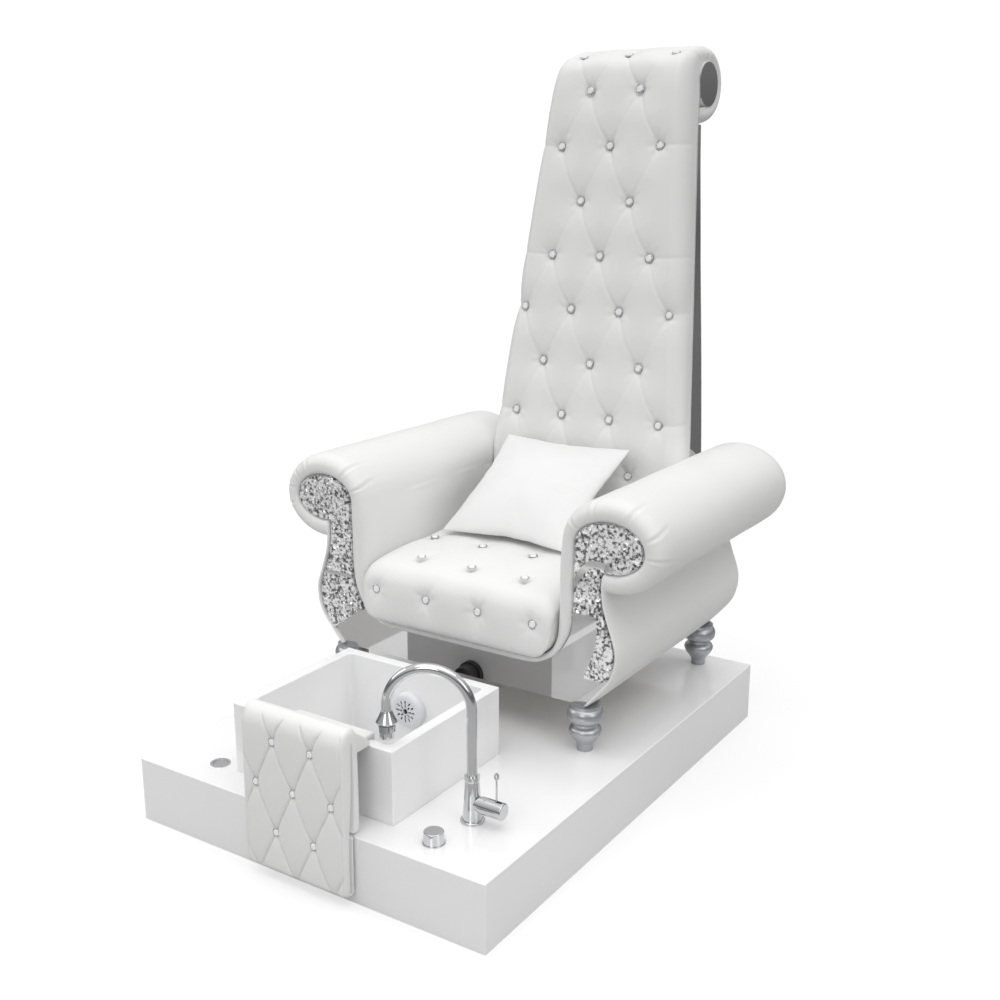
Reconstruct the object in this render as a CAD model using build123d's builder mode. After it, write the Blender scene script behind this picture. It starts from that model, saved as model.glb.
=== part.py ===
from build123d import *
import os
from math import acos, cos, degrees, radians, sin

os.makedirs("parts", exist_ok=True)

# Pedicure spa chair.  Millimetres, +Z up.  The chair faces -Y and +X is its left-hand side.
# The origin is on the floor, under the middle of the platform.

# ---------------------------------------------------------------- driving dimensions
PLATFORM_WIDTH = 1000
PLATFORM_LENGTH = 1360
PLATFORM_HEIGHT = 160
PLATFORM_WALL = 12
LACQUER_EDGE = 2.5
BEARER_HEIGHT = 100
BEARER_THICK = 45

TUB_X = (-259, 207.5)
TUB_Y = (-600, -185)
TUB_RIM = 334
TUB_BOTTOM = 60
TUB_WALL = 28
TUB_FLOOR = 20
JET_X = -40
JET_Z = 227

TAP_X = 336
TAP_Y = -486
TAP_BODY_TOP = 268
SPOUT_R = 11.6
SPOUT_ARCH_R = 93.5
SPOUT_ARCH_Z = 416
SPOUT_HEADING = 204
BARREL_Z = 205
BARREL_R = 19
BARREL_START = 358
CAP_X = (366, 418)
LEVER_X = 399

KNOB_X = 320
KNOB_Y = -606
BUTTON_X = -320
BUTTON_Y = -594

LEG_X = 367
LEG_Y = (-47, 610)
LEG_TOP = 280

FRONT_Y = -60
BODY_REAR_Y = 655
ROLL_REAR_Y = 720
ROLL_X = 432
ROLL_Z = 685
ROLL_HALF_W = 135
ROLL_HALF_H = 115
SCROLL_X = 430
SCROLL_Z = 685
SCROLL_HALF_W = 91
SCROLL_HALF_H = 62
NECK_X = 414
PANEL_THICK = 3
CRYSTAL_THICK = 7
RIBBON_PROUD = 2
CRYSTAL_INSET = 4
CORE_INSET = 9
PAD_OUTSET = 10
LINING_INNER_X = 290
LINING_OUTER_X = 338
LINING_BOTTOM = 358
LINING_FLOOR = 384

SEAT_FRONT_Y = -97
SEAT_TOP = 548
SEAT_REAR_Y = 498
BUTTON_R = 12
BUTTON_THICK = 8
POCKET_R = 16
POCKET_DEPTH = 14
SEAT_PITCH = 160

BACK_Z0 = 740
BACK_SEAM_Y = 626
BACK_SEAM_LEAN = 0.183
BACK_FRONT_Y = 549
BACK_FRONT_LEAN = 0.153
BACK_HALF_WIDTH = 311
BACK_TAPER = 0.099
BACK_BOTTOM = 470
BACK_BEND_Z = 1640
TOP_ROLL_Y = 878
TOP_ROLL_Z = 1760
TOP_ROLL_R = 98
TOP_DISC_R = 60
BACK_PITCH = 155
BACK_ROW_Z = (696, 1746, 150)

PAD_X = (-122, 168)
PAD_Y = (-715, -682)
PAD_BACK_HIGH = -657
PAD_Z = (25, 410)
PAD_PITCH = 108
FLAP_X = (-90, 130)
WEDGE_X = (-104, 150)

PILLOW_CENTRE = (-28, 358, 671)
PILLOW_SIZE = 396
PILLOW_THICK = 112
PILLOW_TILT = 31.8

GAP = 0.3
RUNNING = 0.05


def outer_edges(box, half_x, half_y, mid_x, mid_y, top):
    """Upright corner edges and outer top edges of a lacquered box."""
    def outside(edge):
        centre = edge.center()
        on_x = abs(abs(centre.X - mid_x) - half_x) < 0.5
        on_y = abs(abs(centre.Y - mid_y) - half_y) < 0.5
        upright = on_x and on_y
        rim = (on_x or on_y) and abs(centre.Z - top) < 0.5
        return upright or rim
    return [edge for edge in box.part.edges() if outside(edge)]


def finish(part, name):
    """Label one finished piece and write it."""
    part.label = name
    export_step(part, f"parts/{name}.step")


def seam_y(z):
    """Side seam of the back cushion, where the steel side plate starts."""
    return BACK_SEAM_Y + BACK_SEAM_LEAN * (z - BACK_Z0)


def front_y(z):
    """Crown of the back cushion."""
    return BACK_FRONT_Y + BACK_FRONT_LEAN * (z - BACK_Z0)


def half_width(z):
    """Half the width of the tapering back."""
    return BACK_HALF_WIDTH - BACK_TAPER * (z - BACK_Z0)


# ---------------------------------------------------------------- platform
TUB_MID_X = (TUB_X[0] + TUB_X[1]) / 2
TUB_MID_Y = (TUB_Y[0] + TUB_Y[1]) / 2
TUB_W = TUB_X[1] - TUB_X[0]
TUB_L = TUB_Y[1] - TUB_Y[0]
REAR_Y = PLATFORM_LENGTH / 2
BEARER_Y = (0, 305, 585)
PIPE_Z = 28
PIPE_R = 14
HOSE_Z = 90
HOSE_R = 7
INLET_X = {"hot": 270, "cold": 370}
INLET_R = 10.48
INLET_LENGTH = 15
OUTLET_R = 14.3
OUTLET_LENGTH = 40
TAP_SHANK_R = 15
KNOB_SPINDLE_R = 5
BUTTON_BORE_R = 17.05

with BuildPart() as platform_shell:
    Box(PLATFORM_WIDTH, PLATFORM_LENGTH, PLATFORM_HEIGHT, align=(Align.CENTER, Align.CENTER, Align.MIN))
    offset(amount=-PLATFORM_WALL, openings=platform_shell.faces().sort_by(Axis.Z)[0])
    with BuildSketch(Plane.XY.offset(PLATFORM_HEIGHT)):
        with Locations((TUB_MID_X, TUB_MID_Y)):
            Rectangle(TUB_W + 1, TUB_L + 1)
        with Locations((TAP_X, TAP_Y)):
            Circle(TAP_SHANK_R + 1)
        with Locations((KNOB_X, KNOB_Y)):
            Circle(8)
        with Locations((BUTTON_X, BUTTON_Y)):
            Circle(20)
    extrude(amount=-2 * PLATFORM_WALL, mode=Mode.SUBTRACT)
    with BuildSketch(Plane.XZ.offset(-REAR_Y)):
        with Locations((TUB_MID_X, PIPE_Z)):
            Circle(PIPE_R + 1)
        with Locations(*[(x, HOSE_Z) for x in INLET_X.values()]):
            Circle(HOSE_R + 1)
    extrude(amount=2 * PLATFORM_WALL, mode=Mode.SUBTRACT)
    lacquered = outer_edges(platform_shell, PLATFORM_WIDTH / 2, PLATFORM_LENGTH / 2, 0, 0, PLATFORM_HEIGHT)
    fillet(lacquered, LACQUER_EDGE)
finish(platform_shell.part, "platform_shell")

with BuildPart() as platform_bearers:
    with Locations(*[(0, y, 0) for y in BEARER_Y]):
        Box(PLATFORM_WIDTH - 2 * PLATFORM_WALL - 2, BEARER_THICK, BEARER_HEIGHT,
            align=(Align.CENTER, Align.CENTER, Align.MIN))
    with BuildSketch(Plane.XZ.offset(-REAR_Y)):
        with Locations((TUB_MID_X, PIPE_Z)):
            Circle(PIPE_R + 4)
        with Locations((TAP_X - 16, HOSE_Z - 5)):
            SlotOverall(130, 24)
    extrude(amount=PLATFORM_LENGTH, mode=Mode.SUBTRACT)
finish(platform_bearers.part, "platform_bearers")

# ---------------------------------------------------------------- foot tub and its plumbing
DRAIN_Y = TUB_MID_Y
SLEEVE_R = 22
with BuildPart() as tub_shell:
    with Locations((TUB_MID_X, TUB_MID_Y, TUB_BOTTOM)):
        Box(TUB_W, TUB_L, TUB_RIM - TUB_BOTTOM, align=(Align.CENTER, Align.CENTER, Align.MIN))
    with BuildSketch(Plane.XY.offset(TUB_BOTTOM + TUB_FLOOR)):
        with Locations((TUB_MID_X, TUB_MID_Y)):
            RectangleRounded(TUB_W - 2 * TUB_WALL, TUB_L - 2 * TUB_WALL, 14)
    extrude(amount=TUB_RIM, mode=Mode.SUBTRACT)
    with BuildSketch(Plane.XY.offset(TUB_BOTTOM)):
        with Locations((TUB_MID_X, DRAIN_Y)):
            Circle(SLEEVE_R + 0.5)
    extrude(amount=TUB_FLOOR, mode=Mode.SUBTRACT)
    with BuildSketch(Plane.XZ.offset(-TUB_Y[1])):
        with Locations((JET_X, JET_Z)):
            Circle(20)
    extrude(amount=TUB_WALL, mode=Mode.SUBTRACT)
    fillet(outer_edges(tub_shell, TUB_W / 2, TUB_L / 2, TUB_MID_X, TUB_MID_Y, TUB_RIM), LACQUER_EDGE)
    rim_inside = tub_shell.faces().filter_by(Axis.Z).sort_by(Axis.Z)[-1].inner_wires().edges()
    fillet(rim_inside, LACQUER_EDGE)
finish(tub_shell.part, "tub_shell")

TUB_INNER_FLOOR = TUB_BOTTOM + TUB_FLOOR
SUMP_TOP = 44
STEM_R = 4
with BuildPart() as tub_drain_flange:
    with BuildSketch(Plane.XY.offset(TUB_INNER_FLOOR)):
        with Locations((TUB_MID_X, DRAIN_Y)):
            Circle(35)
            Circle(18, mode=Mode.SUBTRACT)
    extrude(amount=3)
    with BuildSketch(Plane.XY.offset(SUMP_TOP)):
        with Locations((TUB_MID_X, DRAIN_Y)):
            Circle(SLEEVE_R)
            Circle(18, mode=Mode.SUBTRACT)
    extrude(amount=TUB_INNER_FLOOR - SUMP_TOP)
    with BuildSketch(Plane.XY.offset(TUB_BOTTOM)):
        with Locations((TUB_MID_X, DRAIN_Y)):
            Rectangle(38, 4)
            Rectangle(4, 38)
            Circle(STEM_R + 3)
            Circle(STEM_R + RUNNING, mode=Mode.SUBTRACT)
    extrude(amount=8)
finish(tub_drain_flange.part, "tub_drain_flange")

with BuildPart() as drain_stopper:
    with BuildSketch(Plane.XY.offset(TUB_INNER_FLOOR + 3 + GAP)):
        with Locations((TUB_MID_X, DRAIN_Y)):
            Circle(24)
    extrude(amount=5)
    fillet(drain_stopper.faces().sort_by(Axis.Z)[-1].edges(), 3)
    with BuildSketch(Plane.XY.offset(TUB_BOTTOM - 8)):
        with Locations((TUB_MID_X, DRAIN_Y)):
            Circle(STEM_R)
    extrude(amount=TUB_INNER_FLOOR + 3 + GAP - TUB_BOTTOM + 8)
finish(drain_stopper.part, "drain_stopper")

SUMP_HALF = 38
with BuildPart() as drain_sump:
    with Locations((TUB_MID_X, DRAIN_Y, SUMP_TOP)):
        Box(2 * SUMP_HALF, 2 * SUMP_HALF, 38, align=(Align.CENTER, Align.CENTER, Align.MAX))
    with Locations((TUB_MID_X, DRAIN_Y, SUMP_TOP)):
        Box(2 * SUMP_HALF - 6, 2 * SUMP_HALF - 6, 70, align=(Align.CENTER, Align.CENTER, Align.CENTER),
            mode=Mode.SUBTRACT)
    with Locations((TUB_MID_X, DRAIN_Y, 6)):
        Box(2 * SUMP_HALF, 2 * SUMP_HALF, 3, align=(Align.CENTER, Align.CENTER, Align.MIN))
    with BuildSketch(Plane.XZ.offset(-DRAIN_Y - SUMP_HALF)):
        with Locations((TUB_MID_X, PIPE_Z)):
            Circle(PIPE_R - 2.5)
    extrude(amount=4, mode=Mode.SUBTRACT)
finish(drain_sump.part, "drain_sump")

with BuildPart() as drain_pipe:
    with BuildSketch(Plane.XZ.offset(-REAR_Y)):
        with Locations((TUB_MID_X, PIPE_Z)):
            Circle(PIPE_R)
            Circle(PIPE_R - 2.5, mode=Mode.SUBTRACT)
    extrude(amount=REAR_Y - DRAIN_Y - SUMP_HALF)
finish(drain_pipe.part, "drain_pipe")

with BuildPart() as drain_outlet:
    with BuildSketch(Plane.XZ.offset(-REAR_Y)):
        with Locations((TUB_MID_X, PIPE_Z)):
            Circle(24)
            Circle(PIPE_R - 3, mode=Mode.SUBTRACT)
    extrude(amount=-6)
    with BuildSketch(Plane.XZ.offset(-REAR_Y - 6)):
        with Locations((TUB_MID_X, PIPE_Z)):
            Circle(OUTLET_R)
            Circle(PIPE_R - 3, mode=Mode.SUBTRACT)
    extrude(amount=-OUTLET_LENGTH)
finish(drain_outlet.part, "drain_outlet")

# ---------------------------------------------------------------- whirlpool jet on the tub's back wall
JET_COVER_R = 48
JET_INSIDE_Y = TUB_Y[1] - TUB_WALL
JET_AXIS_PLANE = Plane(origin=(JET_X, JET_INSIDE_Y, JET_Z), x_dir=(1, 0, 0), z_dir=(0, -1, 0))
with BuildPart() as jet_cover:
    with BuildSketch(JET_AXIS_PLANE):
        Circle(JET_COVER_R)
    extrude(amount=22)
    fillet(jet_cover.faces().sort_by(Axis.Y)[0].edges(), 14)
    offset(amount=-2.5, openings=jet_cover.faces().sort_by(Axis.Y)[-1])
    with BuildSketch(JET_AXIS_PLANE.offset(30)):
        Circle(7)
        with PolarLocations(14, 8):
            Rectangle(9, 4)
        with PolarLocations(24, 12):
            Rectangle(9, 4)
    extrude(amount=-20, mode=Mode.SUBTRACT)
finish(jet_cover.part, "jet_cover")

with BuildPart() as jet_housing:
    with BuildSketch(JET_AXIS_PLANE.offset(-TUB_WALL)):
        Circle(19.5)
    extrude(amount=TUB_WALL + 1)
    with BuildSketch(JET_AXIS_PLANE.offset(1)):
        Circle(3)
    extrude(amount=12)
finish(jet_housing.part, "jet_housing")

with BuildPart() as jet_impeller:
    with BuildSketch(JET_AXIS_PLANE.offset(1 + GAP)):
        Circle(8)
        with PolarLocations(20, 6):
            Rectangle(26, 3)
        Circle(3 + RUNNING, mode=Mode.SUBTRACT)
    extrude(amount=9)
finish(jet_impeller.part, "jet_impeller")

with BuildPart() as jet_motor:
    with BuildSketch(JET_AXIS_PLANE.offset(-TUB_WALL)):
        Circle(36)
    extrude(amount=-14)
    with BuildSketch(JET_AXIS_PLANE.offset(-TUB_WALL - 14)):
        Circle(31)
    extrude(amount=-32)
    fillet(jet_motor.faces().sort_by(Axis.Y)[-1].edges(), 6)
finish(jet_motor.part, "jet_motor")

# ---------------------------------------------------------------- mixer tap
with BuildPart() as tap_flange:
    with BuildSketch(Plane.XY.offset(PLATFORM_HEIGHT)):
        with Locations((TAP_X, TAP_Y)):
            Circle(27)
            Circle(TAP_SHANK_R + 0.5, mode=Mode.SUBTRACT)
    extrude(amount=6)
    fillet(tap_flange.faces().sort_by(Axis.Z)[-1].edges().sort_by(SortBy.LENGTH)[-1], 2.5)
finish(tap_flange.part, "tap_flange")

TAP_AXIS_PLANE = Plane(origin=(TAP_X, TAP_Y, 0), x_dir=(1, 0, 0), z_dir=(0, -1, 0))
SOCKET_BOTTOM = 228
with BuildPart() as tap_body:
    with BuildSketch(TAP_AXIS_PLANE):
        with BuildLine():
            Polyline((0, 146), (TAP_SHANK_R, 146), (TAP_SHANK_R, 166), (21.5, 166))
            Spline((21.5, 166), (19.2, 205), (16, TAP_BODY_TOP - 12))
            Polyline((16, TAP_BODY_TOP - 12), (17.2, TAP_BODY_TOP - 8), (17.2, TAP_BODY_TOP),
                     (SPOUT_R + RUNNING, TAP_BODY_TOP), (SPOUT_R + RUNNING, SOCKET_BOTTOM),
                     (0, SOCKET_BOTTOM),
                     (0, 146))
        make_face()
    revolve(axis=Axis((TAP_X, TAP_Y, 0), (0, 0, 1)))
    with BuildSketch(Plane.YZ.offset(TAP_X + 12.5)):
        with Locations((TAP_Y, BARREL_Z)):
            Circle(BARREL_R - 3)
    extrude(amount=BARREL_START - TAP_X - 12.5)
finish(tap_body.part, "tap_body")

with BuildPart() as mixer_barrel:
    with BuildSketch(Plane.YZ.offset(BARREL_START)):
        with Locations((TAP_Y, BARREL_Z)):
            Circle(BARREL_R - 0.4)
    extrude(amount=CAP_X[0] - GAP - BARREL_START)
    with BuildSketch(Plane.YZ.offset(CAP_X[0] - GAP)):
        with Locations((TAP_Y, BARREL_Z)):
            Circle(13)
    extrude(amount=16)
finish(mixer_barrel.part, "mixer_barrel")

LEVER_PIVOT = (LEVER_X, TAP_Y, BARREL_Z)
LEVER_R = 2.1
PIN_R = 1.5
CAP_WALL = 3
with BuildPart() as mixer_cap:
    with BuildSketch(Plane.YZ.offset(CAP_X[0])):
        with Locations((TAP_Y, BARREL_Z)):
            Circle(BARREL_R)
    extrude(amount=CAP_X[1] - CAP_X[0])
    fillet(mixer_cap.faces().sort_by(Axis.X)[-1].edges(), 2.5)
    offset(amount=-CAP_WALL, openings=mixer_cap.faces().sort_by(Axis.X)[0])
    with BuildSketch(Plane.XY.offset(BARREL_Z)):
        with Locations((LEVER_X + 4.5, TAP_Y)):
            SlotOverall(17, 5.4)
    extrude(amount=BARREL_R + 2, mode=Mode.SUBTRACT)
    with BuildSketch(Plane.XZ.offset(-TAP_Y - 25)):
        with Locations((LEVER_X, BARREL_Z)):
            Circle(PIN_R + RUNNING)
    extrude(amount=50, mode=Mode.SUBTRACT)
finish(mixer_cap.part, "mixer_cap")

LEVER_LOOP_Z = 281
with BuildPart() as mixer_lever:
    with Locations(LEVER_PIVOT):
        Sphere(5)
        Cylinder(PIN_R, 2 * BARREL_R - 1, rotation=(90, 0, 0))
    with BuildSketch(Plane.XY.offset(BARREL_Z)):
        with Locations((LEVER_X, TAP_Y)):
            Circle(LEVER_R)
    extrude(amount=LEVER_LOOP_Z - 6 - BARREL_Z)
    with BuildSketch(Plane.XZ.offset(-TAP_Y)):
        with Locations((LEVER_X, LEVER_LOOP_Z + 1)):
            Ellipse(5.5, 9.5)
            Ellipse(2.2, 6, mode=Mode.SUBTRACT)
    extrude(amount=1.8, both=True)
finish(mixer_lever.part, "mixer_lever")

spout_heading = radians(SPOUT_HEADING)
SPOUT_REACH = 2 * SPOUT_ARCH_R
HEAD_X = TAP_X + SPOUT_REACH * cos(spout_heading)
HEAD_Y = TAP_Y + SPOUT_REACH * sin(spout_heading)
ARCH_X = TAP_X + SPOUT_ARCH_R * cos(spout_heading)
ARCH_Y = TAP_Y + SPOUT_ARCH_R * sin(spout_heading)
SPOUT_TIP_Z = SPOUT_ARCH_Z - 10
SPOUT_FOOT_Z = SOCKET_BOTTOM + GAP
SPOUT_BORE_R = SPOUT_R - 1.6
with BuildPart() as spout_tube:
    with BuildLine() as spout_path:
        Line((TAP_X, TAP_Y, SPOUT_FOOT_Z), (TAP_X, TAP_Y, SPOUT_ARCH_Z))
        ThreePointArc((TAP_X, TAP_Y, SPOUT_ARCH_Z), (ARCH_X, ARCH_Y, SPOUT_ARCH_Z + SPOUT_ARCH_R),
                      (HEAD_X, HEAD_Y, SPOUT_ARCH_Z))
        Line((HEAD_X, HEAD_Y, SPOUT_ARCH_Z), (HEAD_X, HEAD_Y, SPOUT_TIP_Z))
    with BuildSketch(Plane(origin=(TAP_X, TAP_Y, SPOUT_FOOT_Z), z_dir=(0, 0, 1))):
        Circle(SPOUT_R)
        Circle(SPOUT_BORE_R, mode=Mode.SUBTRACT)
    sweep(path=spout_path.line)
finish(spout_tube.part, "spout_tube")

HEAD_AXIS_PLANE = Plane(origin=(HEAD_X, HEAD_Y, 0), x_dir=(1, 0, 0), z_dir=(0, -1, 0))
HEAD_BOTTOM = 343
BELL_TOP = SPOUT_TIP_Z
with BuildPart() as spray_bell:
    with BuildSketch(HEAD_AXIS_PLANE):
        with BuildLine():
            Line((0, BELL_TOP), (13, BELL_TOP))
            Spline((13, BELL_TOP), (17, BELL_TOP - 10), (24, BELL_TOP - 24))
            Polyline((24, BELL_TOP - 24), (23, BELL_TOP - 27), (13, BELL_TOP - 28), (0, BELL_TOP - 28),
                     (0, BELL_TOP))
        make_face()
    revolve(axis=Axis((HEAD_X, HEAD_Y, 0), (0, 0, 1)))
finish(spray_bell.part, "spray_bell")

with BuildPart() as spray_nozzle:
    with BuildSketch(Plane.XY.offset(BELL_TOP - 28)):
        with Locations((HEAD_X, HEAD_Y)):
            Circle(12)
    extrude(amount=-4)
    with BuildSketch(Plane.XY.offset(BELL_TOP - 32)):
        with Locations((HEAD_X, HEAD_Y)):
            RegularPolygon(21, 6, rotation=15)
    extrude(amount=-15, taper=4)
    with BuildSketch(Plane.XY.offset(BELL_TOP - 47)):
        with Locations((HEAD_X, HEAD_Y)):
            Circle(16)
    extrude(amount=HEAD_BOTTOM - BELL_TOP + 47)
finish(spray_nozzle.part, "spray_nozzle")

# Hexagonal nuts that clamp the drain sleeve to the tub and the tap to the platform.
with BuildPart() as locknuts:
    with BuildSketch(Plane.XY.offset(TUB_BOTTOM - 12)):
        with Locations((TUB_MID_X, DRAIN_Y)):
            RegularPolygon(32, 6)
            Circle(SLEEVE_R + 0.2, mode=Mode.SUBTRACT)
    extrude(amount=12)
    with BuildSketch(Plane.XY.offset(PLATFORM_HEIGHT - PLATFORM_WALL)):
        with Locations((TAP_X, TAP_Y)):
            RegularPolygon(26, 6)
    extrude(amount=-12)
    with Locations((TAP_X, TAP_Y, 146)):
        Cylinder(TAP_SHANK_R + 1.2, 20, align=(Align.CENTER, Align.CENTER, Align.MIN), mode=Mode.SUBTRACT)
finish(locknuts.part, "locknuts")

HOSE_TAIL = {"hot": TAP_X - 9, "cold": TAP_X + 9}
HOSE_TOP = 136
for supply, inlet_x in INLET_X.items():
    tail_x = HOSE_TAIL[supply]
    with BuildPart() as supply_hose:
        with BuildLine() as hose_path:
            FilletPolyline((inlet_x, REAR_Y, HOSE_Z), (inlet_x, 200, HOSE_Z), (tail_x, -120, HOSE_Z),
                           (tail_x, TAP_Y, HOSE_Z), (tail_x, TAP_Y, HOSE_TOP), radius=[200, 200, 30])
        with BuildSketch(Plane(origin=(inlet_x, REAR_Y, HOSE_Z), z_dir=(0, -1, 0))):
            Circle(HOSE_R)
        sweep(path=hose_path.line)
    finish(supply_hose.part, f"{supply}_supply_hose")
    with BuildPart() as inlet:
        with BuildSketch(Plane.XZ.offset(-REAR_Y)):
            with Locations((inlet_x, HOSE_Z)):
                RegularPolygon(16, 6)
                Circle(5, mode=Mode.SUBTRACT)
        extrude(amount=-10)
        with BuildSketch(Plane.XZ.offset(-REAR_Y - 10)):
            with Locations((inlet_x, HOSE_Z)):
                Circle(INLET_R)
                Circle(5, mode=Mode.SUBTRACT)
        extrude(amount=-INLET_LENGTH)
    finish(inlet.part, f"{supply}_inlet")

# ---------------------------------------------------------------- drain knob and air button
with BuildPart() as knob_escutcheon:
    with BuildSketch(Plane.XY.offset(PLATFORM_HEIGHT)):
        with Locations((KNOB_X, KNOB_Y)):
            Circle(25)
            Circle(KNOB_SPINDLE_R + RUNNING, mode=Mode.SUBTRACT)
    extrude(amount=3)
finish(knob_escutcheon.part, "knob_escutcheon")

with BuildPart() as drain_knob:
    with BuildSketch(Plane.XY.offset(PLATFORM_HEIGHT + 3 + GAP)):
        with Locations((KNOB_X, KNOB_Y)):
            Circle(23.5)
    extrude(amount=25, taper=4)
    fillet(drain_knob.faces().sort_by(Axis.Z)[-1].edges(), 2)
    with BuildSketch(Plane.XY.offset(PLATFORM_HEIGHT - 30)):
        with Locations((KNOB_X, KNOB_Y)):
            Circle(KNOB_SPINDLE_R)
    extrude(amount=33 + GAP)
finish(drain_knob.part, "drain_knob")

with BuildPart() as button_bezel:
    with BuildSketch(Plane.XY.offset(PLATFORM_HEIGHT)):
        with Locations((BUTTON_X, BUTTON_Y)):
            Circle(24)
            Circle(BUTTON_BORE_R, mode=Mode.SUBTRACT)
    extrude(amount=2)
    with BuildSketch(Plane.XY.offset(PLATFORM_HEIGHT)):
        with Locations((BUTTON_X, BUTTON_Y)):
            Circle(19.5)
            Circle(BUTTON_BORE_R, mode=Mode.SUBTRACT)
    extrude(amount=-26)
finish(button_bezel.part, "button_bezel")

with BuildPart() as air_button:
    with BuildSketch(Plane.XY.offset(PLATFORM_HEIGHT - 10)):
        with Locations((BUTTON_X, BUTTON_Y)):
            Circle(BUTTON_BORE_R - RUNNING)
    extrude(amount=11)
    fillet(air_button.faces().sort_by(Axis.Z)[-1].edges(), 1.5)
finish(air_button.part, "air_button")

with BuildPart() as button_bellows:
    with BuildSketch(Plane.XY.offset(PLATFORM_HEIGHT - 15)):
        with Locations((BUTTON_X, BUTTON_Y)):
            Circle(16)
    extrude(amount=-10)
    with BuildSketch(Plane.XY.offset(PLATFORM_HEIGHT - 25)):
        with Locations((BUTTON_X, BUTTON_Y)):
            Circle(4)
    extrude(amount=-20)
finish(button_bellows.part, "button_bellows")

# ---------------------------------------------------------------- legs
for side, sx in (("right", -1), ("left", 1)):
    for end, leg_y in zip(("front", "rear"), LEG_Y):
        leg_plane = Plane(origin=(sx * LEG_X, leg_y, 0), x_dir=(1, 0, 0), z_dir=(0, -1, 0))
        with BuildPart() as leg:
            with BuildSketch(leg_plane):
                with BuildLine():
                    Polyline((0, PLATFORM_HEIGHT), (19.5, PLATFORM_HEIGHT), (20, PLATFORM_HEIGHT + 4))
                    Spline((20, PLATFORM_HEIGHT + 4), (23, 180), (38, 202), (40.5, 212), (34, 222))
                    Polyline((34, 222), (30, 225), (30, 231), (34, 234))
                    Spline((34, 234), (45, 248), (45, 260), (38, 272))
                    Polyline((38, 272), (38, LEG_TOP), (0, LEG_TOP), (0, PLATFORM_HEIGHT))
                make_face()
            revolve(axis=Axis((sx * LEG_X, leg_y, 0), (0, 0, 1)))
        finish(leg.part, f"leg_{end}_{side}")

# ---------------------------------------------------------------- chair base
APRON_HALF = 250
APRON_FLAT = 200
LINING_RISE = 10
BASE_HALF = 334
BASE_REAR_Y = 640
RAIL = 25
DECK_BOTTOM = 343
with BuildPart() as base_frame:
    base_length = BASE_REAR_Y - FRONT_Y
    base_mid_y = (BASE_REAR_Y + FRONT_Y) / 2
    with Locations((0, base_mid_y, LEG_TOP)):
        Box(2 * BASE_HALF, base_length, DECK_BOTTOM - LEG_TOP, align=(Align.CENTER, Align.CENTER, Align.MIN))
        Box(2 * (BASE_HALF - RAIL), base_length - 2 * RAIL, DECK_BOTTOM - LEG_TOP,
            align=(Align.CENTER, Align.CENTER, Align.MIN), mode=Mode.SUBTRACT)
finish(base_frame.part, "base_frame")

with BuildPart() as seat_deck:
    with Locations((0, base_mid_y, DECK_BOTTOM)):
        Box(2 * LINING_OUTER_X - 90, base_length, 15, align=(Align.CENTER, Align.CENTER, Align.MIN))
finish(seat_deck.part, "seat_deck")

rise_z = LINING_BOTTOM + LINING_RISE
with BuildPart() as apron_plate:
    with BuildSketch(Plane.XZ.offset(-FRONT_Y)):
        with BuildLine():
            Polyline((-APRON_HALF, LEG_TOP), (APRON_HALF, LEG_TOP), (APRON_HALF, rise_z),
                     (APRON_FLAT, LINING_BOTTOM), (-APRON_FLAT, LINING_BOTTOM), (-APRON_HALF, rise_z),
                     (-APRON_HALF, LEG_TOP))
        make_face()
    extrude(amount=PANEL_THICK)
finish(apron_plate.part, "apron_plate")


def lining_curve(sx, inset=0):
    """Outer curve of the upholstered well, from the apron up to the arm roll."""
    well_x = LINING_OUTER_X + inset
    Spline((sx * (APRON_HALF + inset), LINING_BOTTOM + LINING_RISE), (sx * (280 + inset), 385),
           (sx * (310 + inset), 417), (sx * (333 + inset), 469), (sx * well_x, 535), (sx * well_x, 600),
           (sx * (SCROLL_X - SCROLL_HALF_W + inset), SCROLL_Z))


def arm_outline(sx, inset=0):
    """Front outline of one arm: scroll on top, neck, belly and pointed foot, all moved in by inset."""
    half_w = SCROLL_HALF_W - inset
    half_h = SCROLL_HALF_H - inset
    neck_x = NECK_X - inset
    turn = degrees(acos((neck_x - SCROLL_X) / half_w))
    neck = (sx * neck_x, SCROLL_Z - half_h * sin(radians(turn)))
    apron_x = sx * (APRON_HALF + inset)
    Polyline((sx * (372 - inset), LEG_TOP), (apron_x, LEG_TOP), (apron_x, LINING_BOTTOM + LINING_RISE))
    lining_curve(sx, inset)
    if sx > 0:
        EllipticalCenterArc((SCROLL_X, SCROLL_Z), half_w, half_h, -turn, arc_size=180 + turn)
    else:
        EllipticalCenterArc((-SCROLL_X, SCROLL_Z), half_w, half_h, 0, arc_size=180 + turn)
    Spline(neck, (sx * (414 - inset), 560), (sx * (434 - inset), 490), (sx * (453 - inset), 434),
           (sx * (441 - inset), 372), (sx * (372 - inset), LEG_TOP))


def strip_outline(sx):
    """Thin polished strip across the crystals of one arm, a little higher on the tap side."""
    strip_z = 510 if sx > 0 else 480
    strip_out = 401 if sx > 0 else 432
    Polyline((sx * LINING_OUTER_X, strip_z - 4), (sx * strip_out, strip_z - 4), (sx * strip_out, strip_z + 4),
             (sx * LINING_OUTER_X, strip_z + 4), (sx * LINING_OUTER_X, strip_z - 4))


def curl_outline():
    """Curled polished ribbon that crosses the scroll of the tap-side arm."""
    Spline((344, 573), (368, 614), (393, 636), (422, 635), (456, 629))
    Line((456, 629), (464, 633))
    Spline((464, 633), (428, 649), (393, 652), (362, 632), (344, 604))
    Line((344, 604), (344, 573))


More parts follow.
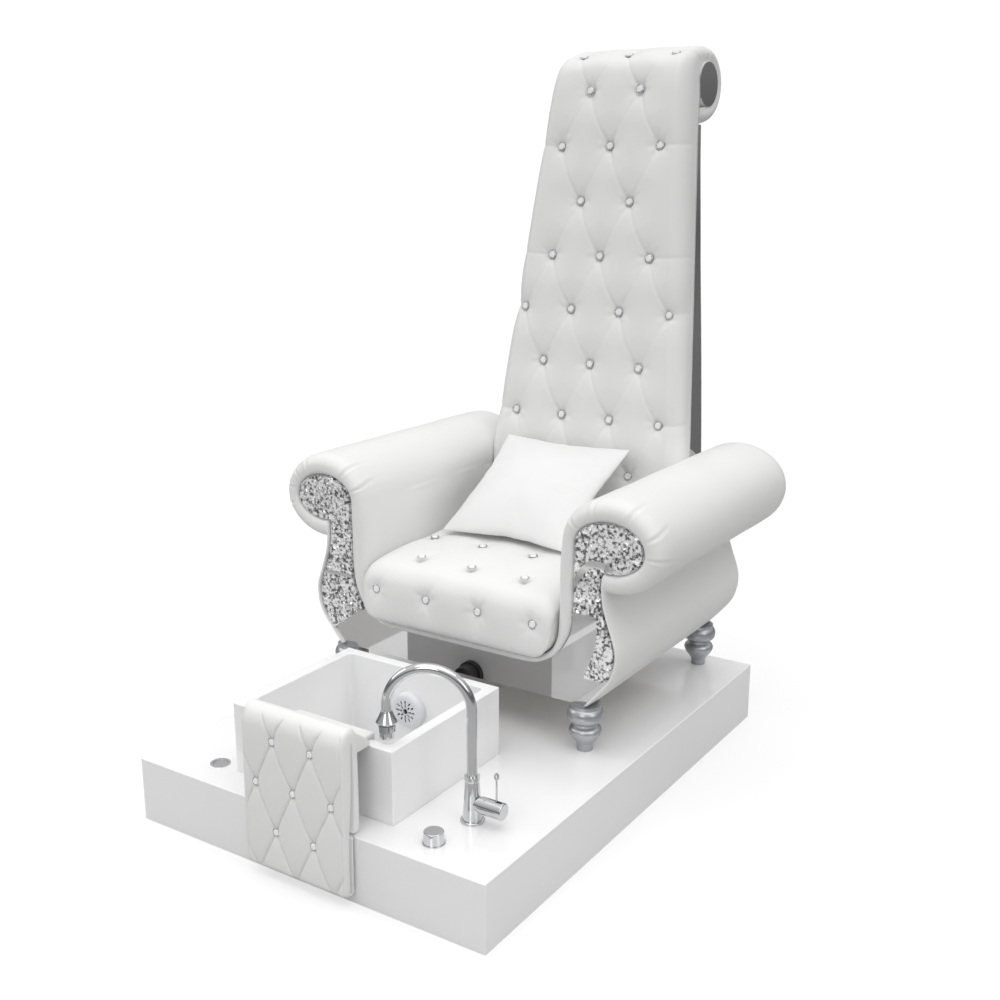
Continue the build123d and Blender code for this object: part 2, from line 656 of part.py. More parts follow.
# ---------------------------------------------------------------- arms
for side, sx in (("right", -1), ("left", 1)):
    # Polished steel front plate.
    with BuildPart() as arm_panel:
        with BuildSketch(Plane.XZ.offset(-FRONT_Y)):
            with BuildLine():
                arm_outline(sx)
            make_face()
        extrude(amount=PANEL_THICK)
        with BuildSketch(Plane.XZ.offset(-FRONT_Y + PANEL_THICK)):
            with BuildLine():
                strip_outline(sx)
            make_face()
            if sx > 0:
                with BuildLine():
                    curl_outline()
                make_face()
        extrude(amount=CRYSTAL_THICK + RIBBON_PROUD)
    finish(arm_panel.part, f"arm_panel_{side}")

    # Crystals bonded in a bed on the plate: scroll, neck and the belly's outer half.
    with BuildPart() as arm_crystals:
        with BuildSketch(Plane.XZ.offset(-FRONT_Y + PANEL_THICK)):
            with BuildLine():
                arm_outline(sx, CRYSTAL_INSET)
            make_face()
            with BuildLine():
                if sx > 0:
                    Polyline((401, 510), (200, 510), (200, 200), (480, 200), (480, 354), (372, 354))
                    Spline((372, 354), (392, 409), (406, 475), (401, 510))
                else:
                    Polyline((-297, 402), (-387, 338), (-480, 270), (-200, 270), (-200, 402), (-297, 402))
            make_face(mode=Mode.SUBTRACT)
        extrude(amount=CRYSTAL_THICK)
        add(arm_panel.part, mode=Mode.SUBTRACT)
    finish(arm_crystals.part, f"arm_crystals_{side}")

    # Wooden core behind the plate.
    with BuildPart() as arm_frame:
        with BuildSketch(Plane.XZ.offset(-FRONT_Y)):
            with BuildLine():
                arm_outline(sx, CORE_INSET)
            make_face()
            with Locations((sx * LINING_OUTER_X, 300)):
                Rectangle(400, 600, align=(Align.MAX if sx > 0 else Align.MIN, Align.CENTER),
                          mode=Mode.SUBTRACT)
        extrude(amount=FRONT_Y - BODY_REAR_Y + 30)
    finish(arm_frame.part, f"arm_frame_{side}")

    # Padded leather outside the core: the roll on top and the outer side below it.
    with BuildPart() as arm_pad:
        with BuildSketch(Plane.XZ.offset(-FRONT_Y)):
            with Locations((sx * ROLL_X, ROLL_Z)):
                Ellipse(ROLL_HALF_W, ROLL_HALF_H)
        extrude(amount=FRONT_Y - ROLL_REAR_Y)
        fillet(arm_pad.faces().sort_by(Axis.Y)[-1].edges(), 60)
        fillet(arm_pad.faces().sort_by(Axis.Y)[0].edges(), 20)
        with BuildSketch(Plane.XZ.offset(-FRONT_Y)):
            with BuildLine():
                arm_outline(sx, -PAD_OUTSET)
            make_face()
            with Locations((sx * LINING_OUTER_X, 350)):
                Rectangle(400, 700, align=(Align.MAX if sx > 0 else Align.MIN, Align.CENTER),
                          mode=Mode.SUBTRACT)
            with Locations((sx * ROLL_X, LEG_TOP + 2)):
                Rectangle(400, 60, align=(Align.CENTER, Align.MAX), mode=Mode.SUBTRACT)
        extrude(amount=FRONT_Y - BODY_REAR_Y)
        add(arm_frame.part, mode=Mode.SUBTRACT)
    finish(arm_pad.part, f"arm_pad_{side}")

# ---------------------------------------------------------------- upholstered well between the arms
LINING_CORNER = 66
LINING_CLEAR = 0.5


def clear_of_arms():
    """Cut the arm rolls and the arm bodies, with a little room, out of the open part."""
    with BuildSketch(Plane.XZ.offset(60 - FRONT_Y)) as rolls:
        with Locations((-ROLL_X, ROLL_Z), (ROLL_X, ROLL_Z)):
            Ellipse(ROLL_HALF_W + 1, ROLL_HALF_H + 1)
    extrude(rolls.sketch, amount=FRONT_Y - 60 - ROLL_REAR_Y - 1, mode=Mode.SUBTRACT)
    for sx in (-1, 1):
        with Locations((sx * (LINING_INNER_X - 1), BODY_REAR_Y + 1, ROLL_Z)):
            Box(300, 900, 430, align=(Align.MIN if sx > 0 else Align.MAX, Align.MAX, Align.MAX),
                mode=Mode.SUBTRACT)


with BuildPart() as seat_lining:
    with BuildSketch(Plane.XZ.offset(-FRONT_Y)):
        for sx in (-1, 1):
            with BuildLine():
                Polyline((sx * (SCROLL_X - SCROLL_HALF_W - LINING_CLEAR), SCROLL_Z), (0, SCROLL_Z),
                         (0, LINING_BOTTOM), (sx * APRON_FLAT, LINING_BOTTOM),
                         (sx * (APRON_HALF - LINING_CLEAR), rise_z))
                lining_curve(sx, -LINING_CLEAR)
            make_face()
        with Locations((0, LINING_FLOOR)):
            RectangleRounded(2 * LINING_INNER_X, 600, LINING_CORNER, align=(Align.CENTER, Align.MIN),
                             mode=Mode.SUBTRACT)
        with Locations((-ROLL_X, ROLL_Z), (ROLL_X, ROLL_Z)):
            Ellipse(ROLL_HALF_W + LINING_CLEAR, ROLL_HALF_H + LINING_CLEAR, mode=Mode.SUBTRACT)
    extrude(amount=FRONT_Y - BASE_REAR_Y)
finish(seat_lining.part, "seat_lining")

# ---------------------------------------------------------------- seat cushion and its crystal buttons
SEAT_HALF = LINING_INNER_X - 2
SEAT_FRONT_BUTTONS = [(x * SEAT_PITCH / 2, 470) for x in (-3, -1, 1, 3)]
SEAT_TOP_BUTTONS = [(x * SEAT_PITCH, 10 + 330 * row) for row in (0, 1) for x in (-1, 0, 1)]
SEAT_TOP_BUTTONS += [((x - 0.5) * SEAT_PITCH, 178) for x in (-1, 0, 1, 2)]
seat_front_plane = Plane.XZ.offset(-SEAT_FRONT_Y)
seat_top_plane = Plane.XY.offset(SEAT_TOP)

with BuildPart() as seat_cushion:
    with BuildSketch(seat_front_plane):
        with Locations((0, LINING_FLOOR + GAP)):
            Rectangle(2 * SEAT_HALF, SEAT_TOP - LINING_FLOOR - GAP, align=(Align.CENTER, Align.MIN))
    extrude(amount=SEAT_FRONT_Y - SEAT_REAR_Y)
    bottom_sides = seat_cushion.edges().filter_by(Axis.Y).group_by(Axis.Z)[0]
    fillet(bottom_sides, LINING_CORNER + 2)
    front_top = seat_cushion.faces().sort_by(Axis.Y)[0].edges().sort_by(Axis.Z)[-1]
    fillet(front_top, 36)
    with BuildSketch(seat_front_plane):
        with Locations(*SEAT_FRONT_BUTTONS):
            Circle(POCKET_R)
    extrude(amount=-POCKET_DEPTH, mode=Mode.SUBTRACT)
    with BuildSketch(seat_top_plane):
        with Locations(*SEAT_TOP_BUTTONS):
            Circle(POCKET_R)
    extrude(amount=-POCKET_DEPTH, mode=Mode.SUBTRACT)
finish(seat_cushion.part, "seat_cushion")

with BuildPart() as seat_buttons:
    with BuildSketch(seat_front_plane.offset(-POCKET_DEPTH)):
        with Locations(*SEAT_FRONT_BUTTONS):
            Circle(BUTTON_R)
    with BuildSketch(seat_top_plane.offset(-POCKET_DEPTH)):
        with Locations(*SEAT_TOP_BUTTONS):
            Circle(BUTTON_R)
    extrude(amount=BUTTON_THICK)
finish(seat_buttons.part, "seat_buttons")

# ---------------------------------------------------------------- back
BACK_TOP = 1650
BACK_REAR = ((BASE_REAR_Y, 400), (701, 740), (753, 1190), (800, 1600), (808, BACK_TOP))
CORE_BOTTOM = LINING_FLOOR + 1
FRAME_INSET = 4
TOP_Z = TOP_ROLL_Z + TOP_ROLL_R
back_normal = Vector(0, -1, BACK_FRONT_LEAN)


def back_taper(inset, bottom, top):
    """Keep only what lies between the two sloping side planes of the back, moved in by inset."""
    with BuildSketch(Plane.XZ.offset(-1200)) as front_view:
        with BuildLine():
            Polyline((half_width(bottom) - inset, bottom), (half_width(top) - inset, top),
                     (inset - half_width(top), top), (inset - half_width(bottom), bottom),
                     (half_width(bottom) - inset, bottom))
        make_face()
    extrude(front_view.sketch, amount=1200, mode=Mode.INTERSECT)


def back_core_outline(bottom):
    """Side outline of the wooden back: the seam line in front, the shallow curve behind."""
    Line((seam_y(bottom), bottom), (seam_y(BACK_TOP), BACK_TOP))
    Line((seam_y(BACK_TOP), BACK_TOP), BACK_REAR[-1])
    Spline(*reversed(BACK_REAR))
    Polyline(BACK_REAR[0], (BASE_REAR_Y, CORE_BOTTOM), (seam_y(bottom), bottom))


BACK_ROWS = []
for row, row_z in enumerate(range(BACK_ROW_Z[0], BACK_ROW_Z[1] + 1, BACK_ROW_Z[2])):
    row_count = (3, 4)[row % 2] if row_z < 1400 or row % 2 == 0 else 2
    BACK_ROWS += [((i - (row_count - 1) / 2) * BACK_PITCH, row_z) for i in range(row_count)]
back_button_planes = [Plane(origin=(x, front_y(z), z), x_dir=(1, 0, 0), z_dir=back_normal)
                      for x, z in BACK_ROWS]
TOP_BUTTON_Y = 790
back_button_planes += [Plane(origin=(x, TOP_BUTTON_Y, TOP_Z - 9), x_dir=(1, 0, 0), z_dir=(0, -0.35, 1))
                       for x in (-145, 0, 145)]

with BuildPart() as back_cushion:
    with BuildSketch(Plane.YZ.offset(-400)):
        with BuildLine():
            Polyline((seam_y(BACK_TOP), BACK_TOP), (seam_y(BACK_BOTTOM), BACK_BOTTOM),
                     (front_y(BACK_BOTTOM), BACK_BOTTOM),
                     (front_y(BACK_BEND_Z), BACK_BEND_Z))
            Spline((front_y(BACK_BEND_Z), BACK_BEND_Z), (715, 1768), (774, 1840), (TOP_ROLL_Y, TOP_Z),
                   tangents=[(BACK_FRONT_LEAN, 1), (1, 0)])
            RadiusArc((TOP_ROLL_Y, TOP_Z), (TOP_ROLL_Y, TOP_ROLL_Z - TOP_ROLL_R), TOP_ROLL_R)
            Line((TOP_ROLL_Y, TOP_ROLL_Z - TOP_ROLL_R), (seam_y(BACK_TOP), BACK_TOP))
        make_face()
        with Locations((TOP_ROLL_Y, TOP_ROLL_Z)):
            Circle(TOP_DISC_R, mode=Mode.SUBTRACT)
    extrude(amount=800)
    back_taper(0, BACK_BOTTOM, TOP_Z + 5)
    clear_of_arms()
    for pocket in back_button_planes:
        with BuildSketch(pocket.offset(20)):
            Circle(POCKET_R)
        extrude(amount=-POCKET_DEPTH - 20, mode=Mode.SUBTRACT)
finish(back_cushion.part, "back_cushion")

with BuildPart() as back_buttons:
    for pocket in back_button_planes:
        with BuildSketch(pocket.offset(-POCKET_DEPTH)):
            Circle(BUTTON_R)
    extrude(amount=BUTTON_THICK)
finish(back_buttons.part, "back_buttons")

with BuildPart() as back_frame:
    with BuildSketch(Plane.YZ.offset(-400)):
        with BuildLine():
            back_core_outline(CORE_BOTTOM)
        make_face()
    extrude(amount=800)
    back_taper(FRAME_INSET, 370, BACK_TOP)
    clear_of_arms()
    add(seat_lining.part, mode=Mode.SUBTRACT)
    with BuildSketch(Plane.YZ.offset(6 - half_width(TOP_ROLL_Z))):
        with Locations((TOP_ROLL_Y, TOP_ROLL_Z)):
            Circle(TOP_DISC_R)
    extrude(amount=2 * half_width(TOP_ROLL_Z) - 12)
finish(back_frame.part, "back_frame")

for side, sx in (("right", -1), ("left", 1)):
    with BuildPart() as back_side_plate:
        with BuildSketch(Plane.YZ.offset(-400)):
            with BuildLine():
                back_core_outline(CORE_BOTTOM)
            make_face()
        extrude(amount=800)
        with BuildSketch(Plane.XZ.offset(-1200)):
            with BuildLine():
                Polyline((sx * (half_width(700) - FRAME_INSET), 700), (sx * (half_width(700) - 1), 700),
                         (sx * (half_width(1700) - 1), 1700), (sx * (half_width(1700) - FRAME_INSET), 1700),
                         (sx * (half_width(700) - FRAME_INSET), 700))
            make_face()
        extrude(amount=1200, mode=Mode.INTERSECT)
        clear_of_arms()
    finish(back_side_plate.part, f"back_side_plate_{side}")

    disc_x = half_width(TOP_ROLL_Z)
    with BuildPart() as top_disc:
        with BuildSketch(Plane.YZ.offset(sx * (disc_x - 6))):
            with Locations((TOP_ROLL_Y, TOP_ROLL_Z)):
                Circle(TOP_DISC_R - GAP)
        extrude(amount=sx * 3)
    finish(top_disc.part, f"top_roll_disc_{side}")

COVER_THICK = 4
with BuildPart() as back_rear_cover:
    with BuildSketch(Plane.YZ.offset(-400)):
        with BuildLine():
            Spline(*BACK_REAR)
            Line(BACK_REAR[-1], (BACK_REAR[-1][0] + COVER_THICK, BACK_REAR[-1][1]))
            Spline(*[(y + COVER_THICK, z) for y, z in reversed(BACK_REAR)])
            Polyline((BASE_REAR_Y + COVER_THICK, BACK_REAR[0][1]), (BASE_REAR_Y + COVER_THICK, LEG_TOP),
                     (BASE_REAR_Y, LEG_TOP), BACK_REAR[0])
        make_face()
    extrude(amount=800)
    back_taper(1, LEG_TOP, BACK_TOP)
    clear_of_arms()
finish(back_rear_cover.part, "back_rear_cover")

# ---------------------------------------------------------------- lift-off footrest pad
PAD_MID_X = (PAD_X[0] + PAD_X[1]) / 2
PAD_W = PAD_X[1] - PAD_X[0]
pad_front_plane = Plane.XZ.offset(-PAD_Y[0])
PAD_BUTTONS = [(PAD_MID_X + x * PAD_PITCH / 2, 232 + z * PAD_PITCH)
               for x, z in ((-1, 1), (1, 1), (-2, 0), (0, 0), (2, 0), (-1, -1), (1, -1))]
with BuildPart() as footrest_pad:
    with BuildSketch(Plane.YZ.offset(PAD_X[0])):
        with BuildLine():
            Polyline((PAD_Y[0], PAD_Z[0]), (PAD_Y[1], PAD_Z[0]), (PAD_Y[1], PLATFORM_HEIGHT + 3),
                     (PAD_BACK_HIGH, PLATFORM_HEIGHT + 3), (PAD_BACK_HIGH, PAD_Z[1] - 22))
            ThreePointArc((PAD_BACK_HIGH, PAD_Z[1] - 22), (PAD_BACK_HIGH - 8, PAD_Z[1] - 6),
                          (PAD_BACK_HIGH - 26, PAD_Z[1]))
            ThreePointArc((PAD_BACK_HIGH - 26, PAD_Z[1]), (PAD_Y[0] + 9, PAD_Z[1] - 9),
                          (PAD_Y[0], PAD_Z[1] - 32))
            Line((PAD_Y[0], PAD_Z[1] - 32), (PAD_Y[0], PAD_Z[0]))
        make_face()
    extrude(amount=PAD_W)
    with BuildSketch(pad_front_plane):
        with Locations(*PAD_BUTTONS):
            Circle(POCKET_R - 3)
    extrude(amount=-8, mode=Mode.SUBTRACT)
finish(footrest_pad.part, "footrest_pad")

with BuildPart() as footrest_buttons:
    with BuildSketch(pad_front_plane.offset(-8)):
        with Locations(*PAD_BUTTONS):
            Circle(BUTTON_R - 2)
    extrude(amount=BUTTON_THICK)
finish(footrest_buttons.part, "footrest_buttons")

FLAP_W = FLAP_X[1] - FLAP_X[0]
HOOK_THICK = 12
HOOK_Y = TUB_Y[0] + TUB_WALL + 2 * GAP
with BuildPart() as footrest_flap:
    with BuildSketch(Plane.YZ.offset(FLAP_X[0])):
        with BuildLine():
            Polyline((PAD_BACK_HIGH, TUB_RIM + GAP), (PAD_BACK_HIGH, 390), (-617, 361), (-600, TUB_RIM + 13),
                     (HOOK_Y + HOOK_THICK, TUB_RIM + 12), (HOOK_Y + HOOK_THICK, TUB_RIM - 40),
                     (HOOK_Y, TUB_RIM - 40), (HOOK_Y, TUB_RIM + GAP), (PAD_BACK_HIGH, TUB_RIM + GAP))
        make_face()
    extrude(amount=FLAP_W)
    with BuildSketch(Plane.YZ.offset(WEDGE_X[0])):
        with BuildLine():
            Polyline((PAD_BACK_HIGH, TUB_RIM + GAP), (PAD_BACK_HIGH, 390), (-617, 361), (-600, TUB_RIM + 13),
                     (-600, TUB_RIM + GAP), (PAD_BACK_HIGH, TUB_RIM + GAP))
        make_face()
    extrude(amount=WEDGE_X[1] - WEDGE_X[0])
finish(footrest_flap.part, "footrest_flap")

# ---------------------------------------------------------------- loose pillow
pillow_plane = Plane(origin=PILLOW_CENTRE, x_dir=(1, 0, 0),
                     z_dir=(0, -sin(radians(PILLOW_TILT)), cos(radians(PILLOW_TILT))))
with BuildPart() as pillow:
    with BuildSketch(pillow_plane):
        RectangleRounded(PILLOW_SIZE, PILLOW_SIZE, 20)
    extrude(amount=PILLOW_THICK / 2, taper=45, both=True)
finish(pillow.part, "pillow")
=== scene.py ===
# %% [markdown]
# # A pedicure spa chair, built round its CAD frame
# The chair is a tall throne on a gloss white platform with a foot tub, a tap and four turned legs.
# The CAD model already holds every hard part in its right place, so this lesson only adds what
# CAD does badly: soft leather, crystals, and finishes with real surface detail. Everything is in metres.

# %% Load the frame
import math

import bmesh
import bpy
import numpy as np
from mathutils import Matrix, Vector
from mathutils.bvhtree import BVHTree


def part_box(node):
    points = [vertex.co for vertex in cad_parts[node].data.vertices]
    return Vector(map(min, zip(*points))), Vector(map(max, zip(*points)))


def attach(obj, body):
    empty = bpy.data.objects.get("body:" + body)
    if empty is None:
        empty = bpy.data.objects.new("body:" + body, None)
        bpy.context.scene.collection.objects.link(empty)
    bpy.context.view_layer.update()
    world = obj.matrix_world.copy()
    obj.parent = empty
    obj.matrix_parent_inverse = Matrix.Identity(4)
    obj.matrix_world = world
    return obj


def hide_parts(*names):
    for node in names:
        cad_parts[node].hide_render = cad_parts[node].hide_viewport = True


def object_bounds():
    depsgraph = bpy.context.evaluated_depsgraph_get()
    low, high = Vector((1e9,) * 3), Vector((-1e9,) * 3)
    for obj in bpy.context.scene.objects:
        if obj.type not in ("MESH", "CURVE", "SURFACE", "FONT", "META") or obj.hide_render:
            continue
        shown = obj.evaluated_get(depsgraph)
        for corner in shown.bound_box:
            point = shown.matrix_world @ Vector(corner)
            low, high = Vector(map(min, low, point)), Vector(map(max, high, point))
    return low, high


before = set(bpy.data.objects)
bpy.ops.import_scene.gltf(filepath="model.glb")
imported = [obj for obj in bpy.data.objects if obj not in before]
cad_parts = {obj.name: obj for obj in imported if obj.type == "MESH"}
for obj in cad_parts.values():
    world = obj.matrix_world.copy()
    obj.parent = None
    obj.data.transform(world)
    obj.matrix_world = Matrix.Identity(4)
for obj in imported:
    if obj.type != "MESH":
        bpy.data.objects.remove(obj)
cad_low, cad_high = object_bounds()
bpy.ops.object.select_all(action="DESELECT")
MM = 0.001
rng = np.random.default_rng(7)
print("CAD box", [round(x, 3) for x in cad_low], [round(x, 3) for x in cad_high])

# %% [markdown]
# ## Camera and light
# A product picture of a white chair needs a lens of normal length and very soft light. The room is
# bright overhead and dim at eye level and below, so that leather is white on top and a little grey at
# the sides, while steel has dark parts of the room to mirror. Large area lamps are the softboxes.

# %% Camera
CAMERA_PLACE = (1.7214, -2.4808, 1.5260)
CAMERA_TURN = (math.radians(75.143), 0, math.radians(33.37))
bpy.ops.object.camera_add(location=CAMERA_PLACE, rotation=CAMERA_TURN)
camera = bpy.context.object
camera.name = "studio_camera"
camera.data.sensor_width = 36
camera.data.lens = 44.63
camera.data.clip_end = 100
bpy.context.scene.camera = camera
print("camera at", CAMERA_PLACE)


# %% Room light and floor
def softbox(name, place, aim, size, power):
    """One large square lamp that points at aim."""
    bpy.ops.object.light_add(type="AREA", location=place)
    lamp = bpy.context.object
    lamp.name = name
    lamp.data.size = size
    lamp.data.energy = power
    lamp.rotation_euler = (Vector(aim) - Vector(place)).to_track_quat("-Z", "Y").to_euler()
    return lamp


softbox("softbox_left", (-3.4, -1.6, 2.4), (0, 0, 0.8), 2.0, 20)
softbox("softbox_right", (3.6, -0.8, 2.0), (0.1, 0.2, 0.7), 1.6, 12)
softbox("softbox_front", (0.9, -3.8, 2.1), (0, 0.4, 1.4), 1.4, 15)
bpy.ops.object.light_add(type="SUN", location=(0, 0, 5))
ceiling = bpy.context.object
ceiling.name = "ceiling_light"
ceiling.data.angle = math.radians(75)
ceiling.data.energy = 1.12
ceiling.rotation_euler = Vector((0.12, -0.10, 1)).to_track_quat("Z", "Y").to_euler()

world = bpy.data.worlds.new("studio_room")
bpy.context.scene.world = world
world.use_nodes = True
sky = world.node_tree
sky.nodes.clear()


def sky_node(kind, **values):
    node = sky.nodes.new(kind)
    for key, value in values.items():
        setattr(node, key, value)
    return node


room_out = sky_node("ShaderNodeOutputWorld")
room_mix = sky_node("ShaderNodeMixShader")
seen = sky_node("ShaderNodeBackground")
seen.inputs["Color"].default_value = (1, 1, 1, 1)
seen.inputs["Strength"].default_value = 1.05
lit = sky_node("ShaderNodeBackground")
lit.inputs["Strength"].default_value = 1.06
path = sky_node("ShaderNodeLightPath")
spot = sky_node("ShaderNodeTexCoord")
split = sky_node("ShaderNodeSeparateXYZ")
tones = sky_node("ShaderNodeValToRGB")
tones.color_ramp.elements[0].position = 0.36
tones.color_ramp.elements[0].color = (0.14, 0.137, 0.133, 1)
tones.color_ramp.elements[1].position = 0.86
tones.color_ramp.elements[1].color = (0.82, 0.82, 0.82, 1)
for where, level in ((0.485, 0.20), (0.52, 0.14), (0.62, 0.44)):
    step = tones.color_ramp.elements.new(where)
    step.color = (level, level, level * 1.02, 1)
lift = sky_node("ShaderNodeMath", operation="MULTIPLY_ADD")
lift.inputs[1].default_value = 0.5
lift.inputs[2].default_value = 0.5
sky.links.new(spot.outputs["Generated"], split.inputs[0])
sky.links.new(split.outputs["Z"], lift.inputs[0])
sky.links.new(lift.outputs[0], tones.inputs["Fac"])
sky.links.new(tones.outputs["Color"], lit.inputs["Color"])
sky.links.new(path.outputs["Is Camera Ray"], room_mix.inputs["Fac"])
sky.links.new(lit.outputs[0], room_mix.inputs[1])
sky.links.new(seen.outputs[0], room_mix.inputs[2])
sky.links.new(room_mix.outputs[0], room_out.inputs["Surface"])
bpy.context.scene.view_settings.view_transform = "Standard"
print("world", world.name)

# %% [markdown]
# ## Finishes
# One helper makes every finish: a Principled shader whose colour, roughness and bump all come from
# noise on Object coordinates, at the scale of the real grain. Values that are the same all over the
# surface are set on the shader itself, because only those survive an export.


# %% The finish helper
def finish(name, colour_a, colour_b, rough, grain=(220, 0.1), bump=0.0, patches=3.0, metallic=0.0,
           blend=(0.3, 0.7), **more):
    """A procedural finish: two tones mixed by slow noise, roughness by fine noise, and a bumped grain."""
    material = bpy.data.materials.new(name)
    material.use_nodes = True
    tree = material.node_tree
    shader = tree.nodes["Principled BSDF"]
    place = tree.nodes.new("ShaderNodeTexCoord")
    slow = tree.nodes.new("ShaderNodeTexNoise")
    slow.inputs["Scale"].default_value = patches
    slow.inputs["Detail"].default_value = 5
    ramp = tree.nodes.new("ShaderNodeValToRGB")
    ramp.color_ramp.elements[0].position = blend[0]
    ramp.color_ramp.elements[0].color = (*colour_a, 1)
    ramp.color_ramp.elements[1].position = blend[1]
    ramp.color_ramp.elements[1].color = (*colour_b, 1)
    fine = tree.nodes.new("ShaderNodeTexNoise")
    fine.inputs["Scale"].default_value = grain[0] * 0.12
    fine.inputs["Detail"].default_value = 6
    spread = tree.nodes.new("ShaderNodeMapRange")
    spread.inputs["From Min"].default_value = 0.25
    spread.inputs["From Max"].default_value = 0.75
    spread.inputs["To Min"].default_value = rough[0]
    spread.inputs["To Max"].default_value = rough[1]
    tree.links.new(place.outputs["Object"], slow.inputs["Vector"])
    tree.links.new(place.outputs["Object"], fine.inputs["Vector"])
    tree.links.new(slow.outputs["Fac"], ramp.inputs["Fac"])
    tree.links.new(ramp.outputs["Color"], shader.inputs["Base Color"])
    tree.links.new(fine.outputs["Fac"], spread.inputs["Value"])
    tree.links.new(spread.outputs["Result"], shader.inputs["Roughness"])
    shader.inputs["Metallic"].default_value = metallic
    for socket, value in more.items():
        shader.inputs[socket.replace("_", " ")].default_value = value
    if bump:
        cells = tree.nodes.new("ShaderNodeTexVoronoi")
        cells.inputs["Scale"].default_value = grain[0]
        cells.inputs["Randomness"].default_value = 1
        swell = tree.nodes.new("ShaderNodeTexNoise")
        swell.inputs["Scale"].default_value = grain[0] * 0.3
        swell.inputs["Detail"].default_value = 4
        both = tree.nodes.new("ShaderNodeMath")
        both.operation = "MULTIPLY_ADD"
        both.inputs[1].default_value = 0.6
        relief = tree.nodes.new("ShaderNodeBump")
        relief.inputs["Strength"].default_value = bump
        relief.inputs["Distance"].default_value = grain[1] * MM
        tree.links.new(place.outputs["Object"], cells.inputs["Vector"])
        tree.links.new(place.outputs["Object"], swell.inputs["Vector"])
        tree.links.new(cells.outputs["Distance"], both.inputs[0])
        tree.links.new(swell.outputs["Fac"], both.inputs[2])
        tree.links.new(both.outputs[0], relief.inputs["Height"])
        tree.links.new(relief.outputs["Normal"], shader.inputs["Normal"])
    return material


# %% The finishes of this chair
white_leather = finish("white_leather", (0.795, 0.795, 0.785), (0.82, 0.82, 0.81), (0.36, 0.50),
                       grain=(620, 0.35), bump=0.35, patches=2.2, Specular_IOR_Level=0.42)
pillow_satin = finish("pillow_satin", (0.79, 0.79, 0.785), (0.825, 0.825, 0.82), (0.42, 0.55),
                      grain=(900, 0.2), bump=0.25, patches=4, Sheen_Weight=0.15)
gloss_white = finish("gloss_white", (0.885, 0.885, 0.89), (0.91, 0.91, 0.912), (0.10, 0.17),
                     grain=(45, 0.3), bump=0.06, patches=1.5, Coat_Weight=0.5, Coat_Roughness=0.06)
mirror_steel = finish("mirror_steel", (0.58, 0.575, 0.57), (0.68, 0.675, 0.67), (0.03, 0.07),
                      grain=(12, 0.5), bump=0.05, patches=2, metallic=1)
tap_chrome = finish("tap_chrome", (0.56, 0.565, 0.575), (0.66, 0.665, 0.675), (0.03, 0.08),
                    grain=(60, 0.1), bump=0.03, patches=8, metallic=1)
silver_paint = finish("silver_paint", (0.40, 0.41, 0.43), (0.50, 0.51, 0.53), (0.26, 0.36),
                      grain=(1400, 0.08), bump=0.3, patches=9, metallic=0.85)
jet_grey = finish("jet_grey", (0.12, 0.13, 0.14), (0.20, 0.21, 0.22), (0.2, 0.32),
                  grain=(300, 0.1), bump=0.1, patches=14, metallic=0.4)
black_plastic = finish("black_plastic", (0.02, 0.02, 0.022), (0.045, 0.045, 0.05), (0.35, 0.5),
                       grain=(500, 0.15), bump=0.25, patches=12)
frame_wood = finish("frame_wood", (0.62, 0.59, 0.54), (0.74, 0.71, 0.66), (0.55, 0.7),
                    grain=(160, 0.4), bump=0.4, patches=7)
steel_braid = finish("steel_braid", (0.42, 0.42, 0.44), (0.66, 0.66, 0.68), (0.25, 0.4),
                     grain=(900, 0.6), bump=0.8, patches=300, metallic=0.9)
yellow_brass = finish("yellow_brass", (0.62, 0.45, 0.20), (0.72, 0.55, 0.27), (0.2, 0.34),
                      grain=(200, 0.1), bump=0.15, patches=12, metallic=1)
# crystal: near-black and white patches about one stone across are painted reflections, the dark and bright
# facets of clear glass
crystal = finish("crystal", (0.10, 0.10, 0.105), (1.0, 1.0, 1.0), (0.03, 0.08),
                 grain=(260, 0.1), bump=0.05, patches=135, metallic=0.5, blend=(0.39, 0.56), Coat_Weight=0.6,
                 Coat_Roughness=0.03)
# the jet's cover is white; this light grey is painted shade, for the shade it sits in down in the tub
jet_white_painted_shade = finish("jet_white_painted_shade", (0.66, 0.67, 0.70), (0.74, 0.75, 0.78), (0.12, 0.2),
                   grain=(90, 0.1), bump=0.05, patches=6, Coat_Weight=0.4)
button_glass = finish("button_glass", (0.86, 0.86, 0.87), (1.0, 1.0, 1.0), (0.04, 0.10),
                      grain=(260, 0.1), bump=0.05, patches=150, metallic=0.0, Coat_Weight=0.6,
                      Coat_Roughness=0.03)
floor_paper = finish("floor_paper", (0.90, 0.90, 0.90), (0.915, 0.915, 0.915), (0.7, 0.8),
                     grain=(300, 0.2), bump=0.1, patches=0.5)
print("finishes", len(bpy.data.materials))

# %% Floor
bpy.ops.mesh.primitive_circle_add(vertices=96, radius=14, fill_type="NGON", location=(0, 0, cad_low[2]))
floor = bpy.context.object
floor.name = "studio_floor"
bpy.ops.object.transform_apply(location=True)
paper = floor_paper.node_tree
paper_out = next(n for n in paper.nodes if n.type == "OUTPUT_MATERIAL")
place = paper.nodes.new("ShaderNodeTexCoord")
far = paper.nodes.new("ShaderNodeVectorMath")
far.operation = "LENGTH"
fade = paper.nodes.new("ShaderNodeMapRange")
fade.interpolation_type = "SMOOTHSTEP"
fade.inputs["From Min"].default_value = 1.6
fade.inputs["To Min"].default_value = 0.55
fade.inputs["From Max"].default_value = 5.5
clear = paper.nodes.new("ShaderNodeBsdfTransparent")
blend = paper.nodes.new("ShaderNodeMixShader")
paper.links.new(place.outputs["Object"], far.inputs[0])
paper.links.new(far.outputs["Value"], fade.inputs["Value"])
paper.links.new(fade.outputs["Result"], blend.inputs["Fac"])
paper.links.new(paper.nodes["Principled BSDF"].outputs[0], blend.inputs[1])
paper.links.new(clear.outputs[0], blend.inputs[2])
paper.links.new(blend.outputs[0], paper_out.inputs["Surface"])
